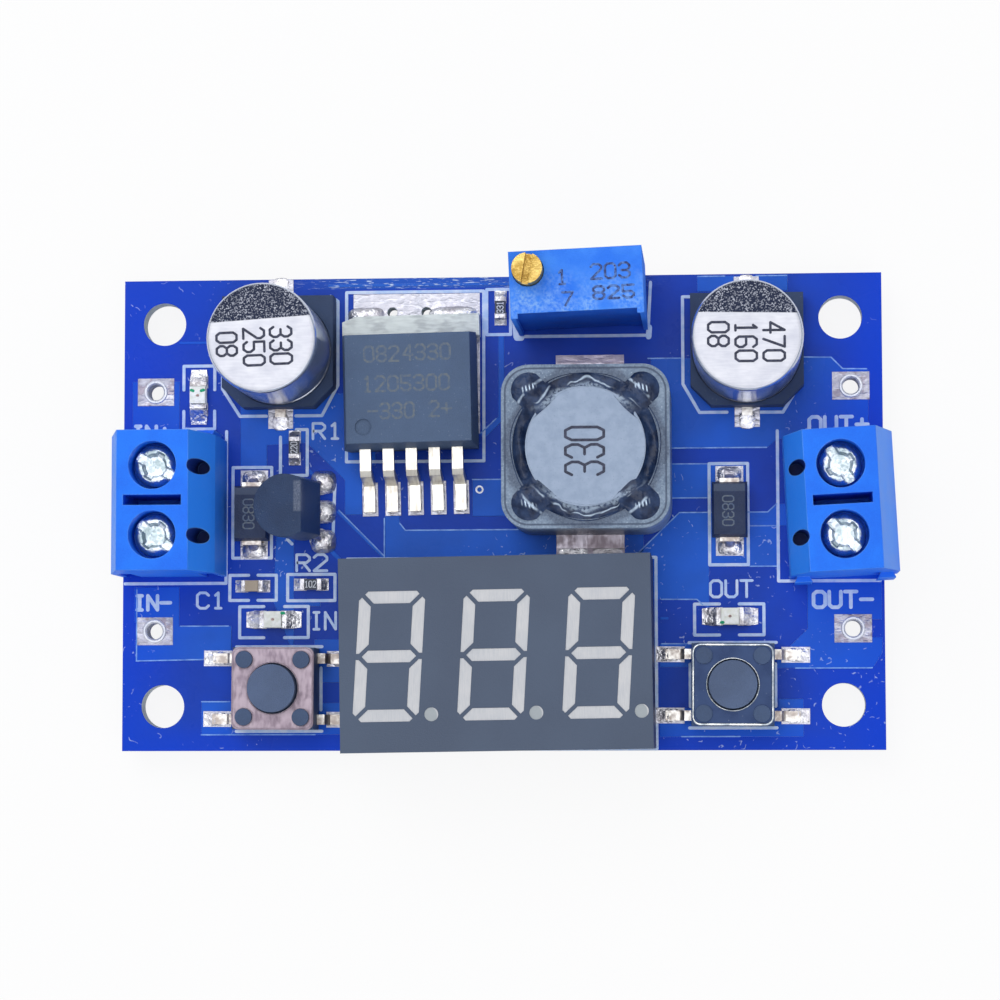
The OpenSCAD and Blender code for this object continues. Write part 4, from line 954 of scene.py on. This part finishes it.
# The adhesive domes up in the four lobes of the shield's opening and sags along the ring between them.
beads = Shape()
INDUCTOR_HEIGHT = 8
cx, cy, crown = INDUCTOR_X, INDUCTOR_Y, BOARD_TOP + LAND + INDUCTOR_HEIGHT
lobe, lobe_r, steps, across = 4.05 * math.sqrt(2), 1.28, 180, 12
rims = []
for k in range(steps):
    angle = math.tau * k / steps
    off = abs((angle + math.pi / 4) % (math.pi / 2) - math.pi / 4)
    off = math.pi / 4 - off
    side = lobe * math.sin(off)
    outer = lobe * math.cos(off) + math.sqrt(lobe_r ** 2 - side ** 2) if side < lobe_r else 0
    near = max(0.0, 1 - (off / 0.32) ** 2)
    outer = max(5.34 + 0.08 * math.cos(angle) ** 2 + 0.05 * math.sin(7 * angle), outer)
    inner = 4.24 - 0.28 * near + 0.05 * math.sin(5 * angle + 1)
    depth = 0.14 + 0.4 * math.cos(angle) ** 2
    rim = []
    for j in range(across + 1):
        t = j / across
        r = inner + (outer - inner) * t
        swell = math.sin(math.pi * t) ** 0.7
        low = 0.03 - depth * swell + 0.05 * math.sin(9 * angle + 5 * t) * swell
        high = 0.03 + 0.34 * math.sin(math.pi * t ** 1.3) ** 0.8 + 0.04 * math.sin(14 * t + 3 * angle)
        z = crown + low + (high - low) * near
        rim.append(beads.mesh.verts.new((cx + r * math.cos(angle), cy + r * math.sin(angle), z)))
    under = ((outer - 0.12, crown - 0.03), (min(outer - 0.15, 5.2), crown - 0.9), (4.4, crown - 0.9))
    rim += [beads.mesh.verts.new((cx + r * math.cos(angle), cy + r * math.sin(angle), z)) for r, z in under]
    rims.append(rim)
beads.looped(rims)
beads.piece("inductor_beads", adhesive, "module", "black_adhesive", stands_for=["inductor_adhesive"], crease=80)
disc_top = Matrix.Translation((0, 0, crown + 0.02))
value = lettering("330", (8.0, 2.1), (0, 1), 2.75, 1.25)
ink("inductor_value", value, 0.2, 0.03, disc_top, dark_ink, "ferrite_core")

# ---- Trimmer ----
# A multi-turn trimmer: blue moulded case, brass adjusting screw with a seal, slider on a ceramic plate.
# It stands on three pins, with a shallow recess down its front; worn dark ink marks the value on top.
TRIMMER_X, TRIMMER_Y = 6.15, 15.72
TRIMMER_DEPTH, TRIMMER_HEIGHT = 4.83, 10.03
finish, shader, at = new_finish("matt blue trimmer plastic", {"Specular IOR Level": 0.15})
haze, grit = at.noise(0.5, 3), at.noise(9, 2)
soft, edge_wear_and_highlight = at.softened_edges(0.08)
x, y = at.axis("X") - TRIMMER_X, at.axis("Y") - TRIMMER_Y
chalk = at.noise(5, 3) * at.noise(0.6, 2) * y.below(0.1, 1.5) * at.axis("Z").above(11.6, 0.05)
# The front recess is painted darker, as painted shade.
recess_shade = (x + y * 0.04).size().below(4.43, 0.02) * (y - x * 0.04).below(-TRIMMER_DEPTH / 2 + 0.42, 0.02)
recess_shade = recess_shade * at.axis("Z").below(11.6, 0.05)
light = haze.blend(paint(46, 120, 242), paint(68, 140, 250))
light = (chalk * 0.75).blend(light, paint(150, 194, 250))
light = recess_shade.blend(light, haze.blend(paint(20, 80, 190), paint(30, 94, 206)))
# Edges painted lighter: partly rubbed wear, partly a painted highlight.
(edge_wear_and_highlight * 0.3).blend(light, paint(100, 160, 246)).into(shader, "Base Color")
(0.6 + haze * 0.15).into(shader, "Roughness")
(grit + chalk).bump(0.02, soft).into(shader, "Normal")
trimmer_blue = finish
coat(trimmer_blue, "trimmer_housing")
brass = metal("turned brass", paint(226, 196, 118), 0.3, (1, 4, 1), paint(176, 140, 66), 0.45, 0.02, 0.08)
coat(brass, "trimmer_screw")
coat(moulded("slider plastic", paint(196, 178, 132), 0.5), "trimmer_slider")
coat(moulded("cermet plate", paint(236, 230, 214), 0.4), "trimmer_element")
coat(moulded("dark blue potting", paint(22, 32, 70), 0.3, gloss=0.3), "trimmer_base")
coat(tinned_wire, "trimmer_pins", "display_pins", "switch_terminals")
coat(tinned_wire, "diode_leads", "transistor_leads", "controller_leads")
trimmer_top = seat(TRIMMER_X, TRIMMER_Y, 2.3, LAND + TRIMMER_HEIGHT)
finish, shader, at = new_finish("worn stamping ink")
worn = at.specks(5, 0.3).maths("MAXIMUM", at.noise(3, 2))
worn.blend(paint(96, 140, 214), paint(44, 42, 88)).into(shader, "Base Color")
(0.5 + worn * 0.2).into(shader, "Roughness")
worn.bump(0.005).into(shader, "Normal")
stamp_ink = finish
marks = lettered(
    ("203", (1.1, 0.15), (1, 0), 1.05, 1.0), ("825", (1.2, -1.3), (1, 0), 0.9, 1.05),
    ("1", (-1.35, -0.1), (1, 0), 1.0, 1.0), ("7", (-1.0, -1.65), (1, 0), 0.95, 1.0),
)
ink("trimmer_value", marks, 0.17, 0.02, trimmer_top, stamp_ink, "trimmer_blue")

# ---- Display ----
# Three seven-segment digits in one slate-grey case; each light well is filled with milky resin.
# The case is cast round its wells and stands on twelve pins, with its own small circuit board below.
finish, shader, at = new_finish("slate face", {"Specular IOR Level": 0.4})
haze, grit = at.noise(0.12, 2), at.noise(9, 2)
soft, edge_wear_and_highlight = at.softened_edges(0.07)
slate = haze.blend(paint(58, 72, 95), paint(70, 84, 106))
side = at.axis("Z").below(8.72, 0.03)
slate = side.blend(slate, paint(46, 54, 84))
# Edges painted lighter: partly rubbed wear, partly a painted highlight.
(edge_wear_and_highlight * 0.35).blend(slate, paint(104, 114, 134)).into(shader, "Base Color")
(0.42 + haze * 0.1 + grit * 0.05).into(shader, "Roughness")
grit.bump(0.006, soft).into(shader, "Normal")
coat(finish, "display_housing")
finish, shader, at = new_finish("milky resin", {"Specular IOR Level": 0.3})
haze, grain = at.noise(0.5, 3), at.stretched(6, 0.4, 1).noise(2.5, 2)
tone = (haze * 0.5 + grain * 0.5).blend(paint(186, 189, 195), paint(206, 206, 208))
# The wells of the points are smaller and lit from farther off, so they look greyer.
for point_x, point_y in ((-4.71, -15.04), (2.83, -14.93), (10.37, -14.83)):
    dx, dy = at.axis("X") - point_x, at.axis("Y") - point_y
    tone = (dx * dx + dy * dy).below(0.4, 0.02).blend(tone, paint(160, 167, 172))
tone.into(shader, "Base Color")
(0.4 + haze * 0.15).into(shader, "Roughness")
grain.bump(0.006).into(shader, "Normal")
coat(finish, "display_segments")
coat(moulded("green laminate", paint(46, 112, 70), 0.45), "display_board")

# ---- Push switches ----
# Four black corner posts are melted over a pressed cover that holds the button down on its snap dome.
# The left cover has a pinkish satin finish; the right one is a dark mirror with a bright rolled rim.
switch_black = moulded("black switch plastic", paint(66, 84, 115), 0.42, 0.1, 0.01, 0.1, edge_wear_and_highlight_tone=1.5)
button_black = moulded("dark button plastic", paint(84, 100, 130), 0.5, 0.1, 0.02, 0.14, edge_wear_and_highlight_tone=1.6)
coat(switch_black, "left_switch_base", "right_switch_base")
coat(button_black, "left_switch_button", "right_switch_button")
pink_cover = metal(
    "pinkish cover", paint(160, 147, 157), 0.5, (1, 0.3, 1), paint(146, 132, 144), 0.4, 0.004, 0.12
)
coat(pink_cover, "left_switch_cover")
finish, shader, at = new_finish("dark mirror cover", {"Metallic": 0.85})
smear = at.noise(0.6, 3)
scuff = at.specks(4, 0.06) * at.noise(0.8, 2).above(0.6, 0.2)
tone = smear.blend(paint(36, 48, 76), paint(48, 62, 92))
(scuff * 0.6).blend(tone, paint(190, 196, 206)).into(shader, "Base Color")
(0.24 + smear * 0.1).into(shader, "Roughness")
smear.bump(0.01).into(shader, "Normal")
coat(finish, "right_switch_cover")


def hoop(shape, path, radius, z, sides=10):
    """A round bead along a closed level path."""
    rings = []
    for k, here in enumerate(path):
        ahead = (Vector(path[(k + 1) % len(path)]) - Vector(path[k - 1])).normalized()
        out = Vector((ahead.y, -ahead.x))
        ring = []
        for s in range(sides):
            turn = math.tau * s / sides
            spot = Vector(here) + out * radius * math.cos(turn)
            ring.append(shape.mesh.verts.new((spot.x, spot.y, z + radius * math.sin(turn))))
        rings.append(ring)
    shape.looped(rings)


def round_square(x, y, half, corner, turn):
    """A square path with rounded corners."""
    place = seat(x, y, turn)
    points = []
    for quarter in range(4):
        for k in range(9):
            angle = math.pi / 2 * (quarter + k / 8)
            cx = (half - corner) * (1 if quarter in (0, 3) else -1)
            cy = (half - corner) * (1 if quarter in (0, 1) else -1)
            spot = Vector((cx + corner * math.cos(angle), cy + corner * math.sin(angle), 0))
            points.append((place @ spot).xy)
    return points


bright_rim = metal("bright rolled rim", paint(226, 228, 226), 0.22, tarnish=paint(150, 160, 170), share=0.5)
COVER_HEIGHT = 3.5
cover_top = BOARD_TOP + LAND + COVER_HEIGHT
for name, rim_r, material, slot in (
    ("left", 0.05, pink_cover, "pink_metal"), ("right", 0.1, bright_rim, "bright_metal"),
):
    x, y = SWITCHES[name]
    rims = Shape()
    hoop(rims, round_square(x, y, 2.98 - rim_r, 0.55, SWITCH_TURN), rim_r, cover_top - rim_r * 0.4)
    lip = [(x + 1.9 * math.cos(math.tau * k / 60), y + 1.9 * math.sin(math.tau * k / 60)) for k in range(60)]
    hoop(rims, lip, 0.05, cover_top)
    rims.piece(name + "_cover_rims", material, "module", slot, crease=80)

# The dome under each button is a thin spring cap that stands on the outer contact; it is built at rest, not
# flattened as when pressed.
sprung_steel = metal("sprung dome", paint(206, 208, 212), 0.22)
DOME_RIM, DOME_RISE, DOME_R = BOARD_TOP + 1.45, 0.75, 2
for name, (x, y) in SWITCHES.items():
    cap = Shape()
    ball = (DOME_R ** 2 + DOME_RISE ** 2) / (2 * DOME_RISE)
    arc = [math.asin(DOME_R / ball) * k / 12 for k in range(13)]
    outer = [(ball * math.sin(a), DOME_RISE - ball + ball * math.cos(a)) for a in arc]
    inner = [((ball - 0.1) * math.sin(a), max(DOME_RISE - ball + (ball - 0.1) * math.cos(a), 0)) for a in arc]
    cap.turned(outer + inner[::-1], Matrix.Translation((x, y, DOME_RIM)), 48)
    dome = cap.piece(name + "_snap_dome", sprung_steel, "module", "dome_steel",
                     stands_for=[name + "_switch_dome"])
    name + "_button_press"
    x * MM
    y * MM
    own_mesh(dome)

# ---- Diodes, transistor and controller ----
# Small parts moulded in black epoxy on tinned leads; a paler band marks one end of each diode.
# The transistor is soldered in by hand and leans over; the controller sits on the underside.
finish, shader, at = new_finish("diode epoxy", {"Coat Weight": 0.05})
haze, grit = at.noise(0.8, 3), at.noise(9, 2)
soft, edge_wear_and_highlight = at.softened_edges(0.08)
y = at.axis("Y")
band = y.above(1.3, 0.04) * y.below(1.86, 0.04) * at.axis("Z").above(3.6, 0.05)
black = haze.blend(paint(32, 46, 76), paint(42, 56, 86))
black = (band * 0.7).blend(black, paint(80, 92, 114))
# Edges painted lighter: partly rubbed wear, partly a painted highlight.
(edge_wear_and_highlight * 0.4).blend(black, paint(100, 110, 128)).into(shader, "Base Color")
(0.45 + grit * 0.12).into(shader, "Roughness")
grit.bump(0.015, soft).into(shader, "Normal")
coat(finish, "diode_bodies")
coat(moulded("black chip epoxy", paint(32, 50, 82), 0.3, 0.14, 0.02, 0.05), "controller_chip")
finish, shader, at = new_finish("glossy black epoxy", {"Coat Weight": 0.1, "Coat Roughness": 0.15})
haze, grit = at.noise(0.4, 3), at.noise(11, 2)
soft, edge_wear_and_highlight = at.softened_edges(0.12)
x, y, z = at.axis("X"), at.axis("Y"), at.axis("Z")
# A painted highlight runs along the ridge between the round back and the flat face.
ridge = (x + 14.15).size().below(0.3, 0.08) * (y - 0.8).size().below(1.1, 0.08) * z.above(4.5, 0.2)
dusty = at.specks(5, 0.09) * at.noise(0.8, 2).above(0.6, 0.2)
tone = (haze * 0.7 + grit * 0.3).blend(paint(28, 48, 80), paint(42, 64, 100))
tone = (ridge * (0.06 + grit * 0.14) + dusty * 0.4).blend(tone, paint(205, 212, 226))
# Edges painted lighter: partly rubbed wear, partly a painted highlight.
(edge_wear_and_highlight * 0.4).blend(tone, paint(60, 78, 110)).into(shader, "Base Color")
(0.26 + haze * 0.1 + grit * 0.06).into(shader, "Roughness")
grit.bump(0.02, soft).into(shader, "Normal")
coat(finish, "transistor_body")
codes = []
for x, _ in DIODES:
    codes += lettering("0830", (x - 0.5, 0.95), (0, -1), 0.8, 0.58)
DIODE_HEIGHT = 2.2
diode_top = Matrix.Translation((0, 0, BOARD_TOP + LAND + DIODE_HEIGHT))
ink("diode_values", codes, 0.1, 0.015, diode_top, laser_mark, "diode_epoxy")

# ---- Chip resistors, chip capacitor and indicator lamps ----
# Ceramic chips with tinned end caps, set by machine and soldered in an oven.
# Resistors have a black glaze with a white value; lamps have a clear lens over a small die.
finish, shader, at = new_finish("glazed chip", {"Coat Weight": 0.2})
glaze = at.axis("Z").above(2.04, 0.02)
mottle = at.noise(4, 2)
glaze.blend(paint(196, 199, 206), mottle.blend(paint(40, 46, 62), paint(58, 64, 80))).into(shader, "Base Color")
(0.3 + mottle * 0.15).into(shader, "Roughness")
mottle.bump(0.01).into(shader, "Normal")
coat(finish, "chip_resistors")
tan_ceramic = moulded("tan ceramic", paint(182, 168, 150), 0.45, 0.1, 0.01, 0.05)
coat(tan_ceramic, "ceramic_capacitor")
end_cap = metal(
    "tinned end cap", paint(206, 206, 212), 0.26, tarnish=paint(156, 152, 154), share=0.5, relief=0.03
)
coat(end_cap, "chip_end_caps")
clear = {"Coat Weight": 0.8, "Coat Roughness": 0.05}
lens = clouded("clear lamp lens", paint(222, 226, 214), paint(242, 244, 240), (2.5, 2), (0.2, 0.1), 0.03, clear)
coat(lens, "status_leds")
finish, shader, at = new_finish("pale value ink", {"Specular IOR Level": 0.3})
at.noise(5, 2).blend(paint(200, 206, 216), paint(226, 230, 236)).into(shader, "Base Color")
(0.5 + at.noise(3) * 0.2).into(shader, "Roughness")
at.noise(8, 2).bump(0.004).into(shader, "Normal")
pale_ink = finish
CHIP_HEIGHT, LAMP_HEIGHT = 0.45, 0.8
chip_top = Matrix.Translation((0, 0, BOARD_TOP + LAND + CHIP_HEIGHT))
values = lettered(
    ("220", (-15.14, 4.5), (0, 1), 0.46, 0.3), ("102", (-14.52, -5.5), (1, 0), 0.46, 0.3),
    ("331", (0.27, 14.84), (0, 1), 0.46, 0.3),
)
ink("chip_values", values, 0.06, 0.02, chip_top, pale_ink, "resistor_ceramic")
green_ink = moulded("green mark", paint(40, 168, 120), 0.4)
lamp_top = Matrix.Translation((0, 0, BOARD_TOP + LAND + LAMP_HEIGHT))
marks = [[(-23.05, 9.25), (-22.9, 9.2)], [(-22.3, 9.2), (-22.12, 9.25)], [(-16.2, -7.42), (-16.05, -7.42)],
         [(16.28, -8.25), (16.42, -8.25)]]
ink("lamp_marks", marks, 0.22, 0.02, lamp_top, green_ink, "led_lens")
die_red = moulded("lamp die", paint(222, 192, 182), 0.4)
dice = [[(-22.6, 8.85), (-22.55, 8.85)], [(-16.9, -7.88), (-16.85, -7.88)], [(16.9, -7.79), (16.95, -7.79)]]
ink("lamp_dice", dice, 0.2, 0.02, lamp_top, die_red, "led_lens")

# ---- Studio ----
# A pale floor under the module; a soft light above and behind, and weaker ones in front and straight above.
# The camera looks almost straight down, as from a copy stand.
FLOOR = -0.0018
bpy.ops.mesh.primitive_plane_add(size=4, location=(0, 0, FLOOR))
floor = bpy.context.object
floor.name = "floor"
finish = bpy.data.materials.new("pale floor")
finish.use_nodes = True
tree = finish.node_tree
paper = tree.nodes["Principled BSDF"]
paper.inputs["Base Color"].default_value = (0.86, 0.86, 0.87, 1)
paper.inputs["Roughness"].default_value = 0.8
seen = Wire(tree).add("ShaderNodeLightPath", out="Is Camera Ray")
glow = seen.add("ShaderNodeEmission", inputs={"Color": (1, 1, 1, 1), "Strength": 1.0})
sheet = seen.add("ShaderNodeMixShader", inputs={0: seen * 0.88, 1: Wire(tree, paper.outputs[0]), 2: glow})
sheet.into(tree.nodes["Material Output"], "Surface")
floor.data.materials.append(finish)

world = bpy.data.worlds.new("studio")
bpy.context.scene.world = world
world.use_nodes = True
tree = world.node_tree
sky = Wire(tree)
direct = sky.add("ShaderNodeLightPath", out="Is Camera Ray")
mirrored = sky.add("ShaderNodeLightPath", out="Is Glossy Ray").maths(
    "MAXIMUM", sky.add("ShaderNodeLightPath", out="Is Transmission Ray"))
height = sky.add("ShaderNodeTexCoord", out="Generated").axis("Z")
dome = height.above(0.45, 0.4).blend((0.42, 0.45, 0.5, 1), (0.96, 0.97, 1, 1))
soft_light = height.above(0.35, 0.35).blend((1.0, 1.01, 1.03, 1), (0.45, 0.46, 0.48, 1))
tone = direct.blend(mirrored.blend(soft_light, dome), (1, 1, 1, 1))
tone.into(tree.nodes["Background"], "Color")

for name, place, size, power in (
    ("back light", (-0.10, 0.16, 0.30), 0.26, 0.42), ("front light", (0.12, -0.22, 0.30), 0.3, 0.24),
    ("top light", (0.01, -0.01, 0.36), 0.22, 0.2),
):
    lamp = bpy.data.lights.new(name, "AREA")
    lamp.size, lamp.energy = size, power
    holder = bpy.data.objects.new(name, lamp)
    holder.location = place
    holder.rotation_euler = (-Vector(place)).to_track_quat("-Z", "Y").to_euler()
    bpy.context.scene.collection.objects.link(holder)

camera = bpy.data.cameras.new("camera")
camera.lens, camera.sensor_width = 114.8, 36
camera.clip_start, camera.clip_end = 0.01, 10
holder = bpy.data.objects.new("camera", camera)
holder.location = (0.016904, -0.016358, 0.236868)
holder.rotation_euler = (0.073, 0.072, -0.002)
bpy.context.scene.collection.objects.link(holder)
bpy.context.scene.camera = holder
bpy.context.scene.view_settings.view_transform = "Standard"
